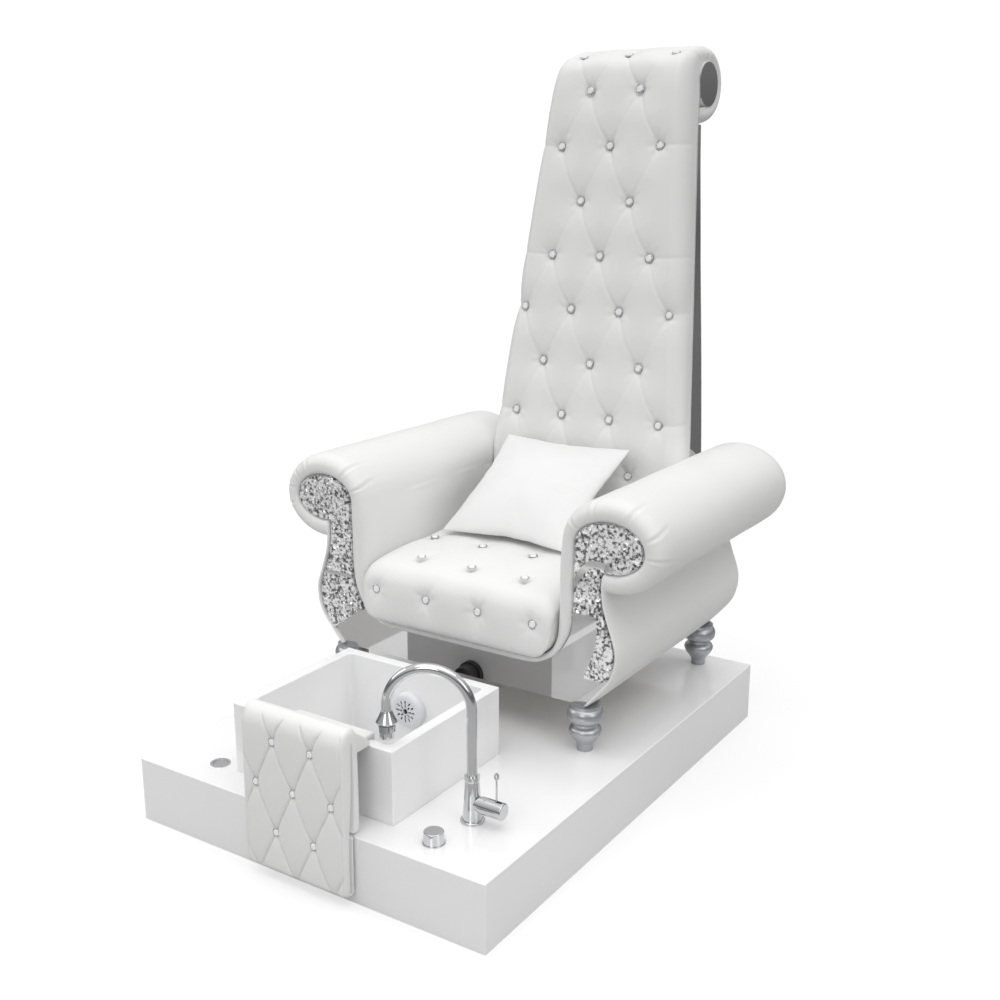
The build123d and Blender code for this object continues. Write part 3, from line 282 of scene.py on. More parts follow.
floor.data.materials.append(floor_paper)
print("floor at", round(cad_low[2], 4))

# %% [markdown]
# ## CAD parts that only need a finish
# The record names the finish of each node. The nodes keep their exact shape, and only their
# material changes.

# %% Give each CAD node its finish
FINISH_OF = {"gloss_white": gloss_white, "wood": frame_wood, "white_leather": white_leather,
             "pillow_cover": pillow_satin, "mirror_steel": mirror_steel, "crystal": crystal,
             "silver_paint": silver_paint, "tap_chrome": tap_chrome, "jet_grey": jet_grey,
             "black_plastic": black_plastic, "braided_hose": steel_braid, "brass": yellow_brass}
for name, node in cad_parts.items():
    for held in node.material_slots:
        slot_name = held.material.name.split(".")[0] if held.material else "gloss_white"
        held.material = FINISH_OF.get(slot_name, gloss_white)
# the jet's cover is white and is seen in the tub's shade, so its light grey finish is painted shade; leather
# hides the wooden frame behind the arms
for name, material in (("jet_cover", jet_white_painted_shade), ("back_frame", white_leather),
                       ("arm_frame_left", white_leather), ("arm_frame_right", white_leather)):
    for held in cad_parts[name].material_slots:
        held.material = material
print({name: node.material_slots[0].material.name for name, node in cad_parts.items()
       if node.material_slots})

# %% [markdown]
# ## Padded leather as a swept cushion
# Every cushion here is a strip: a side outline of the crown, and a base line where the cover is
# tacked down. Sweeping one cross-section with rounded shoulders between them gives a closed, crowned
# form. Tufting then pushes the leather in at the buttons and along the pleats. Mesh code
# suits this, because each point needs its own push.


# %% Smooth lines through stations
def smooth_line(stations, spacing):
    """A Catmull-Rom line through stations, with points an even spacing apart along its first two columns."""
    s = np.array(stations, float)
    s = np.vstack([2 * s[0] - s[1], s, 2 * s[-1] - s[-2]])
    t = np.linspace(0, 1, 24, endpoint=False)[:, None]
    parts = []
    for a, b, c, d in zip(s[:-3], s[1:-2], s[2:-1], s[3:]):
        parts.append(0.5 * (2 * b + (c - a) * t + (2 * a - 5 * b + 4 * c - d) * t**2
                            + (3 * b - a - 3 * c + d) * t**3))
    dense = np.vstack(parts + [s[-2:-1]])
    run = np.concatenate([[0], np.cumsum(np.linalg.norm(np.diff(dense[:, :2], axis=0), axis=1))])
    count = max(2, int(round(run[-1] / spacing)) + 1)
    even = np.linspace(0, run[-1], count)
    return np.stack([np.interp(even, run, dense[:, k]) for k in range(s.shape[1])], 1), even


def shoulder_profile(half, corner, count):
    """Across a cushion: side wall, rounded shoulder, flat top. Returns x share and height share."""
    turn = np.linspace(0, math.pi / 2, 9)
    side = np.stack([np.ones(4), np.linspace(0, 0.38, 4, endpoint=False)], 1)
    share = corner / half
    arc = np.stack([1 - share * (1 - np.cos(turn)), 0.38 + 0.62 * np.sin(turn)], 1)
    flat = np.linspace(1 - share, share - 1, count)[1:-1]
    top = np.stack([flat, np.ones(len(flat))], 1)
    right = np.vstack([side, arc])
    left = right[::-1] * [-1, 1]
    return np.vstack([right, top, left])[::-1]


def grid_normals(points):
    """Outward normals of a grid of points, by finite differences."""
    along = np.gradient(points, axis=0)
    across = np.gradient(points, axis=1)
    n = np.cross(across, along)
    return n / np.maximum(np.linalg.norm(n, axis=2, keepdims=True), 1e-9)


def solid_from_grid(name, points, material):
    """A closed mesh from a grid whose two long edges are joined behind it and whose ends are capped."""
    rows, cols = points.shape[:2]
    index = np.arange(rows * cols).reshape(rows, cols)
    faces = np.stack([index[:-1, :-1], index[:-1, 1:], index[1:, 1:], index[1:, :-1]], -1).reshape(-1, 4)
    back = np.stack([index[:-1, -1], index[:-1, 0], index[1:, 0], index[1:, -1]], -1)
    polygons = [tuple(f) for f in np.vstack([faces, back]).tolist()]
    polygons += [tuple(index[0, ::-1].tolist()), tuple(index[-1].tolist())]
    return mesh_piece(name, points.reshape(-1, 3), polygons, material)


def mesh_piece(name, points, polygons, material):
    """A new object at the world origin from points in metres."""
    mesh = bpy.data.meshes.new(name)
    mesh.from_pydata(points.tolist() if hasattr(points, "tolist") else points, [], polygons)
    mesh.materials.append(material)
    piece = bpy.data.objects.new(name, mesh)
    bpy.context.scene.collection.objects.link(piece)
    shape = bmesh.new()
    shape.from_mesh(mesh)
    bmesh.ops.remove_doubles(shape, verts=shape.verts, dist=0.01 * MM)
    bmesh.ops.recalc_face_normals(shape, faces=shape.faces)
    shape.to_mesh(mesh)
    shape.free()
    mesh.polygons.foreach_set("use_smooth", [True] * len(mesh.polygons))
    mesh.update()
    return piece


print("cushion helpers ready")


# %% Tufting
def tuft(x, v, buttons, pleats, depth, reach, puff):
    """Height of tufted leather over its plain crown, in millimetres, at across x and along v."""
    nearest = np.full(x.shape, 1e9)
    height = np.zeros(x.shape)
    for number, (bx, bv) in enumerate(buttons):
        d = np.hypot(x - bx, v - bv)
        nearest = np.minimum(nearest, d)
        turn = np.arctan2(v - bv, x - bx)
        folds = np.cos(5 * turn + number * 2.4) + 0.6 * np.cos(8 * turn + number)
        height += 0.7 * folds * np.exp(-((d - 26) / 13) ** 2)
    height += puff * (1 - np.exp(-(nearest / 62) ** 2)) - depth * np.exp(-(nearest / reach) ** 1.25)
    for (x0, v0), (x1, v1), strength, hold, bow in pleats:
        length = math.hypot(x1 - x0, v1 - v0)
        ux, uv = (x1 - x0) / length, (v1 - v0) / length
        t = (x - x0) * ux + (v - v0) * uv
        share = np.clip(t / length, 0, 1)
        side = (x - x0) * uv - (v - v0) * ux - bow * np.sin(math.pi * share)
        over = np.maximum(np.maximum(-t, t - length), 0)
        along = hold + (1 - hold) * (np.exp(-(t / 42) ** 2) + np.exp(-((length - t) / 42) ** 2))
        crease = np.exp(-np.abs(side) / 3.6) + 0.30 * np.exp(-(side / 15) ** 2)
        height -= strength * along * crease * np.exp(-(over / 7) ** 2)
    return height


def lattice_pleats(rows, pitch, strong, weak, hold, bow):
    """Pleats between each button and the next row's buttons half a pitch to either side."""
    made = []
    for upper, lower in zip(rows[1:], rows[:-1]):
        for ux, uv in upper:
            for lx, lv in lower:
                if abs(abs(ux - lx) - pitch / 2) < pitch * 0.2:
                    made.append(((ux, uv), (lx, lv), strong if lx > ux else weak, hold,
                                 bow if lx > ux else -bow * 0.5))
    return made


print("tufting ready")

# %% [markdown]
# ## The tall tufted back
# The real back is a panel of foam about 75 mm thick under soft leather, wider at the bottom, that
# rolls over backwards at the top. Diamond tufting in rows of two, three and four holds it down. The
# buttons sit at the CAD buttons' own places, so the leather can be pushed in to meet them.

# %% Back outline and buttons
BACK_LEAN = 0.153
SEAM_LEAN = 0.183


def back_front(z):
    return 549 + BACK_LEAN * (z - 740)


def back_seam(z):
    return 626 + SEAM_LEAN * (z - 740)


def back_half(z):
    return 311 - 0.099 * (z - 740)


TOP_ROLL = (878, 1760, 98, 56)
SCROLL = (430, 685, 91, 62)
ROLL = (432, 685, 135, 115)
BACK_PITCH = 155


def inside_of_roll(z):
    """How far out, across x, a piece may reach at height z before it meets an arm roll, with 2 mm to spare."""
    middle_x, middle_z, wide, tall = ROLL
    share = 1 - ((z - middle_z) / (tall + 2)) ** 2
    return np.where(share > 0, middle_x - (wide + 2) * np.sqrt(np.maximum(share, 0)), 400)


back_stations = [(back_front(z), z, back_seam(z), z) for z in (472, 600, 740, 900, 1100, 1300, 1500, 1620)]
back_stations += [(698, 1700, 806, 1700), (712, 1762, 818, 1752), (736, 1812, 822, 1782),
                  (778, 1843, 838, 1806), (828, 1856, 857, 1813), (878, 1858, 878, 1816)]
roll_y, roll_z, roll_skin, roll_base = TOP_ROLL
back_stations += [(roll_y + roll_skin * math.sin(a), roll_z + roll_skin * math.cos(a),
                   roll_y + roll_base * math.sin(a), roll_z + roll_base * math.cos(a))
                  for a in np.radians((25, 50, 75, 100, 125, 150, 172))]
back_stations += [(848, 1658, 852, 1697), (815, 1654, 826, 1690)]
back_path, back_run = smooth_line(back_stations, 3.7)
row_heights = [696 + 150 * k for k in range(8)]
row_counts = [3, 4, 3, 4, 3, 2, 3, 2]


def back_run_of(y, z):
    return back_run[np.argmin(np.hypot(back_path[:, 0] - y, back_path[:, 1] - z))]


back_rows = [[((i - (n - 1) / 2) * BACK_PITCH, back_run_of(back_front(z), z)) for i in range(n)]
             for z, n in zip(row_heights, row_counts)]
back_rows.append([(x, back_run_of(790, 1847)) for x in (-145, 0, 145)])
back_buttons_flat = [b for row in back_rows for b in row]
back_pleats = lattice_pleats(back_rows, BACK_PITCH, 5.2, 2.6, 0.32, 7)
for number in (1, 3, 4, 6, 8):
    for side in (-1, 1):
        bx, bv = back_rows[number][-1 if side > 0 else 0]
        back_pleats.append(((bx, bv), (side * 330, bv + 4), 3.4, 0.55, 0))
print("back path", round(back_run[-1]), "mm,", len(back_buttons_flat), "buttons,", len(back_pleats), "pleats")

# %% Tufted back
profile = shoulder_profile(300, 40, 150)
half = back_half(np.minimum(back_path[:, 1], 1858))
half = np.where(back_run > back_run_of(878, 1858), back_half(1800), half) - 2
crown = np.zeros((len(back_path), len(profile), 3))
crown[..., 0] = half[:, None] * profile[None, :, 0]
lift = profile[None, :, 1, None]
crown[..., 1:] = back_path[:, None, 2:] + (back_path[:, None, :2] - back_path[:, None, 2:]) * lift
normal = grid_normals(crown)
mask = np.clip((profile[:, 1] - 0.1) / 0.5, 0, 1)[None, :]
relief = tuft(crown[..., 0], np.repeat(back_run[:, None], len(profile), 1), back_buttons_flat, back_pleats,
              15, 24, 5)
edge_fade = np.clip(np.minimum(back_run, back_run[-1] - back_run) / 40, 0, 1)[:, None]
crown += normal * (relief * mask * edge_fade)[..., None]
limit = np.where(crown[..., 2] < ROLL[1], 288, inside_of_roll(crown[..., 2]))
crown[..., 0] = np.clip(crown[..., 0], -limit, limit)
tufted_back = solid_from_grid("tufted_back", crown * MM, white_leather)
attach(tufted_back, "chair")
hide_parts("back_cushion")
print("tufted_back", len(tufted_back.data.polygons), "faces")

# %% [markdown]
# ## The seat cushion
# The seat is a thick foam block with a fat rounded front. Four buttons hold its front face and
# ten more its top. Its pleats are short, because the leather is only lightly pulled.

# %% Seat outline, buttons and mesh
seat_stations = [(-60, 385, 200, 388), (-86, 386, 200, 400), (-97, 402, 200, 430), (-99, 450, 200, 450),
                 (-97, 480, 200, 455), (-88, 506, 200, 462), (-66, 527, 200, 465), (-30, 538, 200, 468),
                 (40, 545, 200, 470), (150, 549, 200, 470), (300, 548, 300, 470), (420, 544, 420, 470),
                 (470, 533, 460, 470), (490, 512, 470, 465), (495, 470, 475, 450), (490, 400, 470, 420)]
seat_path, seat_run = smooth_line(seat_stations, 4.2)


def seat_run_of(y, z):
    return seat_run[np.argmin(np.hypot(seat_path[:, 0] - y, seat_path[:, 1] - z))]


SEAT_PITCH = 160
SEAT_FRONT_X = (-240, -80, 80, 240)
SEAT_TOP_ROWS = ((2, (-160, 0, 160)), (170, (-240, -80, 80, 240)), (335, (-160, 0, 160)))
seat_rows = [[(x, seat_run_of(-98, 470)) for x in SEAT_FRONT_X]]
for y, xs in SEAT_TOP_ROWS:
    seat_rows.append([(x, seat_run_of(y, 546)) for x in xs])
seat_pleats = lattice_pleats(seat_rows, SEAT_PITCH, 2.6, 2.0, 0.05, 4)
for x, v in seat_rows[0]:
    seat_pleats.append(((x, v), (x - 4, v - 62), 1.8, 0.1, 2))
SEAT_HALF = 289
seat_profile = shoulder_profile(SEAT_HALF, 46, 132)
base = np.zeros((len(seat_path), len(seat_profile), 3))
base[..., 0] = SEAT_HALF * seat_profile[None, :, 0]
base[..., 1] = seat_path[:, None, 0]
base[..., 2] = seat_path[:, None, 1]
drop = 1 - seat_profile[None, :, 1]
top_share = np.clip((seat_path[:, 1] - 470) / 78, 0, 1)[:, None]
front_share = np.clip((60 - seat_path[:, 0]) / 150, 0, 1)[:, None]
rear_share = np.clip((seat_path[:, 0] - 430) / 60, 0, 1)[:, None]
base[..., 2] -= drop * 62 * top_share
base[..., 1] += drop * (26 * front_share - 40 * rear_share)
crown_side = (1 - (base[..., 0] / 300) ** 2)
base[..., 2] += 5 * crown_side * top_share
well_z, well_x = (380, 384.5, 388, 399, 412, 430, 455, 505), (150, 223, 247, 266, 278, 286, 289, 289.5)
inner = np.interp(base[..., 2], well_z, well_x)
base[..., 0] = np.clip(base[..., 0], -inner, inner)
normal = grid_normals(base)
relief = tuft(base[..., 0], np.repeat(seat_run[:, None], len(seat_profile), 1),
              [b for row in seat_rows for b in row], seat_pleats, 13, 20, 3)
mask = np.clip((seat_profile[:, 1] - 0.2) / 0.5, 0, 1)[None, :]
base += normal * (relief * mask)[..., None]
# the side walls follow the well's curve and run in to the cushion's core
shares = np.array((0.04, 0.12, 0.3, 0.6, 1.0))[None, :]
for edge, sx in ((0, -1), (-1, 1)):
    wall = np.zeros((len(seat_path), shares.shape[1], 3))
    wall[..., 1] = base[:, edge, 1, None] * (1 - shares) + seat_path[:, 2, None] * shares
    wall[..., 2] = base[:, edge, 2, None] * (1 - shares) + seat_path[:, 3, None] * shares
    wall[..., 0] = sx * np.interp(wall[..., 2], well_z, well_x)
    base = np.concatenate([wall[:, ::-1], base] if sx < 0 else [base, wall], axis=1)
tufted_seat = solid_from_grid("tufted_seat", base * MM, white_leather)
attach(tufted_seat, "chair")
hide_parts("seat_cushion")
print("tufted_seat", len(tufted_seat.data.polygons), "faces")

# %% [markdown]
# ## Arms and well in one cover
# On the real chair one skin of leather runs from the outside of one arm, over its roll, down the
# inner wall, under the seat and up over the other arm. It is modelled the same way: pairs of
# stations, one on the edge of the steel plate and one on the outside of the padding, and a ring
# between them that is swept from foot to foot.

# %% Stations of the cover
def arm_stations():
    """Plate edge and padding, in x and z, from the well's middle to the foot of the +X arm."""
    pairs = [(0, 358, 0, 384), (100, 358, 100, 384), (190, 358.5, 190, 384), (225, 361, 222, 384.5),
             (250, 368, 247, 388), (280, 385, 266, 399), (300, 405, 278, 412), (318, 435, 286, 430),
             (330, 465, 290, 455), (337, 510, 291, 505), (338, 560, 291, 556), (338.5, 615, 291.5, 618),
             (339, 650, 293, 650)]
    for a in range(178, -101, -6):
        b = a if a > 0 else a * 93 / 98
        turn_a, turn_b = math.radians(a), math.radians(b)
        pairs.append((SCROLL[0] + SCROLL[2] * math.cos(turn_a), SCROLL[1] + SCROLL[3] * math.sin(turn_a),
                      ROLL[0] + ROLL[2] * math.cos(turn_b), ROLL[1] + ROLL[3] * math.sin(turn_b)))
    pairs += [(414, 608, 424, 564), (414, 575, 427, 548), (418, 545, 434, 524), (432, 500, 446, 492),
              (446, 460, 459, 458), (453, 430, 465, 430), (450, 396, 462, 394), (437, 362, 449, 358),
              (410, 326, 421, 322), (374, 283, 386, 283)]
    return pairs


right_line, _ = smooth_line([(c, d, a, b) for a, b, c, d in arm_stations()], 4.6)
pad_line = np.vstack([(right_line * [-1, 1, -1, 1])[::-1], right_line[1:]])
outer, inner_edge = pad_line[:, :2], pad_line[:, 2:]
print("cover stations", len(pad_line))

# %% Ring between plate edge and padding, swept front to rear
LIP = [(0, -60), (0.03, -65), (0.12, -70), (0.28, -73), (0.46, -73.5), (0.62, -71), (0.76, -66), (0.87, -58),
       (0.95, -47), (0.99, -36)]
radial = outer - inner_edge
roll_share = np.clip((outer[:, 1] - 560) / 60, 0, 1) * np.clip((np.abs(outer[:, 0]) - 288) / 6, 0, 1)
under = (np.abs(outer[:, 0]) > 422) & (outer[:, 1] > 545) & (outer[:, 1] < 660)
roll_share[under] = np.clip((outer[under, 1] - 550) / 18, 0, 1)
rear = 652 + 68 * roll_share * roll_share * (3 - 2 * roll_share)
rear[np.abs(outer[:, 0]) < 288] = 640
ring = [(t, np.full(len(outer), y, float)) for t, y in LIP]
for share in np.linspace(0, 1, 84):
    ring.append((1.0, -26 + (rear - 42 + 26) * share))
for t, back_by in ((0.985, 28), (0.93, 16), (0.82, 7), (0.62, 1.5), (0.4, 0), (0.15, 1), (0, 4)):
    ring.append((t, rear - back_by))
cover = np.zeros((len(outer), len(ring), 3))
for j, (t, ys) in enumerate(ring):
    cover[:, j, 0] = inner_edge[:, 0] + radial[:, 0] * t
    cover[:, j, 2] = inner_edge[:, 1] + radial[:, 1] * t
    cover[:, j, 1] = ys
roll_x, roll_z = (np.abs(outer[:, 0]) - ROLL[0]) / ROLL[2], (outer[:, 1] - ROLL[1]) / ROLL[3]
angle = np.degrees(np.arctan2(roll_z, roll_x))
on_roll = (np.hypot(roll_x, roll_z) < 1.015).astype(float)
PLEATS = {1: ((110, 1.0), (63, 1.0), (25, 0.9), (-6, 0.8), (147, 1.1)),
          -1: ((158, 1.1), (128, 0.9), (100, 0.6), (60, 1.0), (38, 0.7), (12, 0.9), (-20, 0.7))}
push = np.zeros(cover.shape[:2])
outward = radial / np.maximum(np.linalg.norm(radial, axis=1, keepdims=True), 1e-6)
for sx, pleats in PLEATS.items():
    mine = (np.sign(outer[:, 0]) == sx) & (on_roll > 0)
    for number, (where, strength) in enumerate(pleats):
        lean = (number % 3 - 1) * 0.10
        off = (angle[:, None] - where - lean * (cover[..., 1] + 60)) * math.pi / 180 * ROLL[2]
        fade = np.exp(-((cover[..., 1] + 58) / 48) ** 2)
        push -= np.where(mine[:, None], strength * fade * (5.0 * np.exp(-np.abs(off) / 3.0)
                         - 1.8 * np.exp(-((np.abs(off) - 9) / 6) ** 2)), 0)
wave = np.sin(cover[..., 1] / 61 + angle[:, None] / 23) * np.sin(cover[..., 1] / 97 - angle[:, None] / 31)
push += 0.9 * wave * np.clip((cover[..., 1] + 20) / 60, 0, 1) * on_roll[:, None]
lip_share = np.array([t for t, _ in ring])[None, :]
push *= np.clip(lip_share * 3, 0, 1)
cover[..., 0] += outward[:, None, 0] * push
cover[..., 2] += outward[:, None, 1] * push
front_dip = np.clip((-cover[..., 1] - 40) / 30, 0, 1)
cover[..., 1] -= push * front_dip * 0.6
arm_cover = solid_from_grid("arm_and_well_cover", cover * MM, white_leather)
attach(arm_cover, "chair")
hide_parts("arm_pad_left", "arm_pad_right", "seat_lining")
print("arm_and_well_cover", len(arm_cover.data.polygons), "faces")

# %% [markdown]
# The back of each arm is closed by a leather panel of the plate's own shape. It is a filled outline
# with a little thickness, and it steps back where the long roll ends behind the body of the arm.

# %% Rear panels of the arms
for sx, side in ((-1, "right"), (1, "left")):
    chosen = (np.sign(outer[:, 0]) == sx) & (np.abs(inner_edge[:, 0]) > 249)
    edge_x, edge_z = inner_edge[chosen, 0], inner_edge[chosen, 1]
    edge_y = rear[chosen] - 5
    if sx < 0:
        edge_x, edge_z, edge_y = edge_x[::-1], edge_z[::-1], edge_y[::-1]
    ring_points = [(x, y, z) for x, y, z in zip(edge_x, edge_y, edge_z)] + [(sx * 250, 645, 283)]
    shape = bmesh.new()
    verts = [shape.verts.new(Vector(p) * MM) for p in ring_points]
    edges = [shape.edges.new((a, b)) for a, b in zip(verts, verts[1:] + verts[:1])]
    bmesh.ops.triangle_fill(shape, use_beauty=True, edges=edges)
    bmesh.ops.recalc_face_normals(shape, faces=shape.faces)
    mesh = bpy.data.meshes.new(f"arm_rear_panel_{side}")
    shape.to_mesh(mesh)
    shape.free()
    mesh.materials.append(white_leather)
    panel = bpy.data.objects.new(mesh.name, mesh)
    bpy.context.scene.collection.objects.link(panel)
    bpy.ops.object.select_all(action="DESELECT")
    panel.select_set(True)
    bpy.context.view_layer.objects.active = panel
    thick = panel.modifiers.new("thickness", "SOLIDIFY")
    thick.thickness = 8 * MM
    thick.offset = 0
    bpy.ops.object.modifier_apply(modifier="thickness")
    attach(panel, "chair")
    print(panel.name, len(panel.data.polygons), "faces")

# %% [markdown]
# ## The back's rear cover
# Behind, the chair is closed by leather stretched over the frame, with a piped edge. It is a
# shallow crowned sheet between two outlines. It is narrow low down between the arms, passes behind
# their bodies, and is cut back beside the rolls.

# %% Rear cover
rear_stations = [(640, 283, 636, 283), (640, 340, 636, 340), (641, 400, 637, 400), (666, 560, 662, 560),
                 (701, 740, 697, 740), (730, 960, 726, 960), (753, 1190, 749, 1190), (780, 1410, 776, 1410),
                 (800, 1600, 796, 1600), (807, 1648, 803, 1648)]
rear_path, _ = smooth_line(rear_stations, 7)
cover_profile = shoulder_profile(290, 10, 60)
z = rear_path[:, 1]
half = np.minimum(back_half(z) - 1, inside_of_roll(z))
half = np.minimum(half, 286 + 60 * np.clip((z - 498) / 16, 0, 1))
sheet = np.zeros((len(rear_path), len(cover_profile), 3))
sheet[..., 0] = half[:, None] * cover_profile[None, :, 0]
bulge = 9 * (1 - (sheet[..., 0] / half[:, None]) ** 4) * np.clip((z[:, None] - 283) / 60, 0, 1) * np.clip(
    (1650 - z[:, None]) / 60, 0, 1)
piping = 3.5 * np.exp(-((np.abs(sheet[..., 0]) - half[:, None] + 12) / 4) ** 2)
seam = -1.6 * np.exp(-np.abs(z[:, None] - 700) / 2.5)
sheet[..., 1] = rear_path[:, None, 2] + (5 + bulge + piping + seam) * cover_profile[None, :, 1]
sheet[..., 2] = z[:, None]
rear_cover = solid_from_grid("rear_leather_cover", sheet * MM, white_leather)
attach(rear_cover, "chair")
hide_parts("back_rear_cover")
print("rear_leather_cover", len(rear_cover.data.polygons), "faces")

# %% [markdown]
# ## The footrest pad
# A thin padded cover hangs over the tub's front wall. Its diamonds are sewn right through, so the
# pleats run straight to the edges, and the leather swells between them.

# %% Footrest cushion
PAD_MIDDLE = (23, 232)
PAD_PITCH = 108
pad_stations = [(-684, 165, -690, 160), (-684, 100, -692, 100), (-684, 40, -694, 40), (-688, 28, -697, 34),
                (-700, 25, -700, 36), (-711, 29, -701, 40), (-715, 44, -701, 50), (-715, 150, -700, 150),
                (-715, 260, -690, 260), (-715, 350, -686, 350), (-713, 380, -686, 366), (-704, 400, -685, 374),
                (-686, 409, -684, 378), (-668, 404, -682, 374), (-659, 388, -680, 368), (-657, 360, -680, 350),
                (-657, 250, -680, 250), (-658, 176, -684, 180), (-664, 168, -686, 172)]
pad_path, _ = smooth_line(pad_stations, 2.5)
pad_profile = shoulder_profile(145, 11, 150)
pad = np.zeros((len(pad_path), len(pad_profile), 3))
pad[..., 0] = PAD_MIDDLE[0] + 144.5 * pad_profile[None, :, 0]
pad_lift = pad_profile[None, :, 1, None]
pad[..., 1:] = pad_path[:, None, 2:] + (pad_path[:, None, :2] - pad_path[:, None, 2:]) * pad_lift
normal = grid_normals(pad)
straight = np.where(pad_path[:, 0] < -684, 1.0, 0.0)
straight *= np.clip((pad_path[:, 1] - 25) / 14, 0, 1) * np.clip((404 - pad_path[:, 1]) / 22, 0.12, 1)
wrap = np.clip((pad_path[:, 0] + 715) / 30, 0, 1) * 18
lx = (pad[..., 0] - PAD_MIDDLE[0]) / PAD_PITCH
lz = (np.minimum(pad_path[:, 1], 409) + wrap - PAD_MIDDLE[1])[:, None] / (2 * PAD_PITCH)
a, b = lx + lz, lx - lz
fa, fb = np.abs(a - np.round(a)) * 96.6, np.abs(b - np.round(b)) * 96.6
swell = (np.abs(np.sin(math.pi * a)) * np.abs(np.sin(math.pi * b))) ** 0.6
relief = 3.4 * swell - 4.2 * np.exp(-np.minimum(fa, fb) / 1.6) - 5 * np.exp(-((fa ** 2 + fb ** 2) / 13 ** 2))
edge_mask = np.clip((pad_profile[:, 1] - 0.7) / 0.3, 0, 1)[None, :] * np.clip(
    (140 - np.abs(pad[..., 0] - PAD_MIDDLE[0])) / 8, 0, 1)
from_side = 144.5 - np.abs(pad[..., 0] - PAD_MIDDLE[0])
piping = 2.2 * np.exp(-((from_side - 3.5) / 2.2) ** 2) - 1.8 * np.exp(-((from_side - 9) / 2.2) ** 2)
piping_mask = np.clip((pad_profile[:, 1] - 0.3) / 0.3, 0, 1)
pad += normal * ((relief * edge_mask + piping * piping_mask) * straight[:, None])[..., None]
footrest_cushion = solid_from_grid("footrest_cushion", pad * MM, white_leather)
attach(footrest_cushion, "footrest")
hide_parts("footrest_pad")
print("footrest_cushion", len(footrest_cushion.data.polygons), "faces")

# %% [markdown]
# The strap behind it slopes down from the pad's top, lies over the tub's rim and hooks inside. It is
# one outline in the side view, pulled out across the width, and wider where it meets the pad.

# %% Strap over the rim
low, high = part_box("footrest_flap")
hook_in, hook_out = high[1] / MM - 12, high[1] / MM
slope = [(-658, 335), (-658, 389), (-640, 379), (-617, 361), (-606, 350)]
over_rim = slope + [(-598, 346.5), (hook_out, 345.5), (hook_out, 295), (hook_in, 295), (hook_in, 335)]
points, polygons = [], []
wedge = slope + [(-600, 346), (-600, 335)]
strap_left, strap_right = low[0] / MM, high[0] / MM
for outline, x0, x1 in ((over_rim, strap_left + 14, strap_right - 20), (wedge, strap_left, strap_right)):
    first, count = len(points), len(outline)
    points += [(x, y, z) for x in (x0, x1) for y, z in outline]
    polygons.append(tuple(range(first, first + count)))
    polygons.append(tuple(range(first + 2 * count - 1, first + count - 1, -1)))
    polygons += [(first + i, first + count + i, first + count + (i + 1) % count, first + (i + 1) % count)
                 for i in range(count)]
strap = mesh_piece("rim_strap", np.array(points) * MM, polygons, white_leather)
bpy.ops.object.select_all(action="DESELECT")
strap.select_set(True)
bpy.context.view_layer.objects.active = strap
soft_edge = strap.modifiers.new("soft_edge", "BEVEL")
soft_edge.width = 3.5 * MM
soft_edge.segments = 4
bpy.ops.object.modifier_apply(modifier="soft_edge")
bpy.ops.object.shade_smooth_by_angle(angle=math.radians(50))
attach(strap, "footrest")
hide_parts("footrest_flap")
print("rim_strap", len(strap.data.polygons), "faces")

# %% [markdown]
# ## The loose pillow
# A pillow is two square sheets sewn at their edges and blown out by its filling. The cloth solver does
# that with pressure, but alone it blows the pillow up into a star. So its result is mixed with a
# plain cushion shape, which keeps the sides nearly straight and takes over some pull and puckers.

# %% Pillow by cloth simulation
PILLOW_TILT = math.radians(31.8)
SIMULATED = np.array([0.22, 0.22, 0.38])
pillow_low, pillow_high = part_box("pillow")
pillow_place = (pillow_low + pillow_high) / 2
bpy.ops.object.select_all(action="DESELECT")
bpy.ops.mesh.primitive_cube_add(size=1, location=(0, 0, 0))
loose_pillow = bpy.context.object
loose_pillow.name = "loose_pillow"
loose_pillow.scale = (0.42, 0.42, 0.022)
bpy.ops.object.transform_apply(scale=True)
shape = bmesh.new()
shape.from_mesh(loose_pillow.data)
flat_edges = [e for e in shape.edges if abs(e.verts[0].co.z - e.verts[1].co.z) < 1e-6]
bmesh.ops.subdivide_edges(shape, edges=flat_edges, cuts=53, use_grid_fill=True)
jitter = np.random.default_rng(3)
for v in shape.verts:
    rim = max(abs(v.co.x), abs(v.co.y)) / 0.21
    v.co.z *= 1 - 0.75 * rim ** 6
    v.co.z += jitter.normal(0, 0.00025)
shape.to_mesh(loose_pillow.data)
shape.free()
flat = np.array([v.co for v in loose_pillow.data.vertices])
cloth = loose_pillow.modifiers.new("cloth", "CLOTH")
cloth.settings.quality = 6
cloth.settings.mass = 0.25
cloth.settings.use_pressure = True
cloth.settings.uniform_pressure_force = 5
cloth.settings.tension_stiffness = 25
cloth.settings.compression_stiffness = 12
cloth.settings.bending_stiffness = 0.4
cloth.settings.effector_weights.gravity = 0
cloth.collision_settings.use_collision = False
cloth.point_cache.frame_start = 1
cloth.point_cache.frame_end = 24
for step_number in range(1, 25):
    bpy.context.scene.frame_set(step_number)
bpy.context.view_layer.objects.active = loose_pillow
bpy.ops.object.modifier_apply(modifier="cloth")
bpy.context.scene.frame_set(1)
puffed = np.array([v.co for v in loose_pillow.data.vertices])
span = puffed.max(0) - puffed.min(0)
rim = np.clip(1 - np.abs(flat[:, :2]) / 0.2105, 0, 1)
plain = flat.copy()
plain[:, 2] = np.sign(flat[:, 2]) * 0.056 * (rim[:, 0] * rim[:, 1]) ** 0.42
puffed *= np.array([0.42, 0.42, 0.112]) / span
puffed = plain * (1 - SIMULATED) + puffed * SIMULATED
span = puffed.max(0) - puffed.min(0)
puffed = (puffed - (puffed.max(0) + puffed.min(0)) / 2) * [0.400 / span[0], 0.400 / span[1], 0.112 / span[2]]
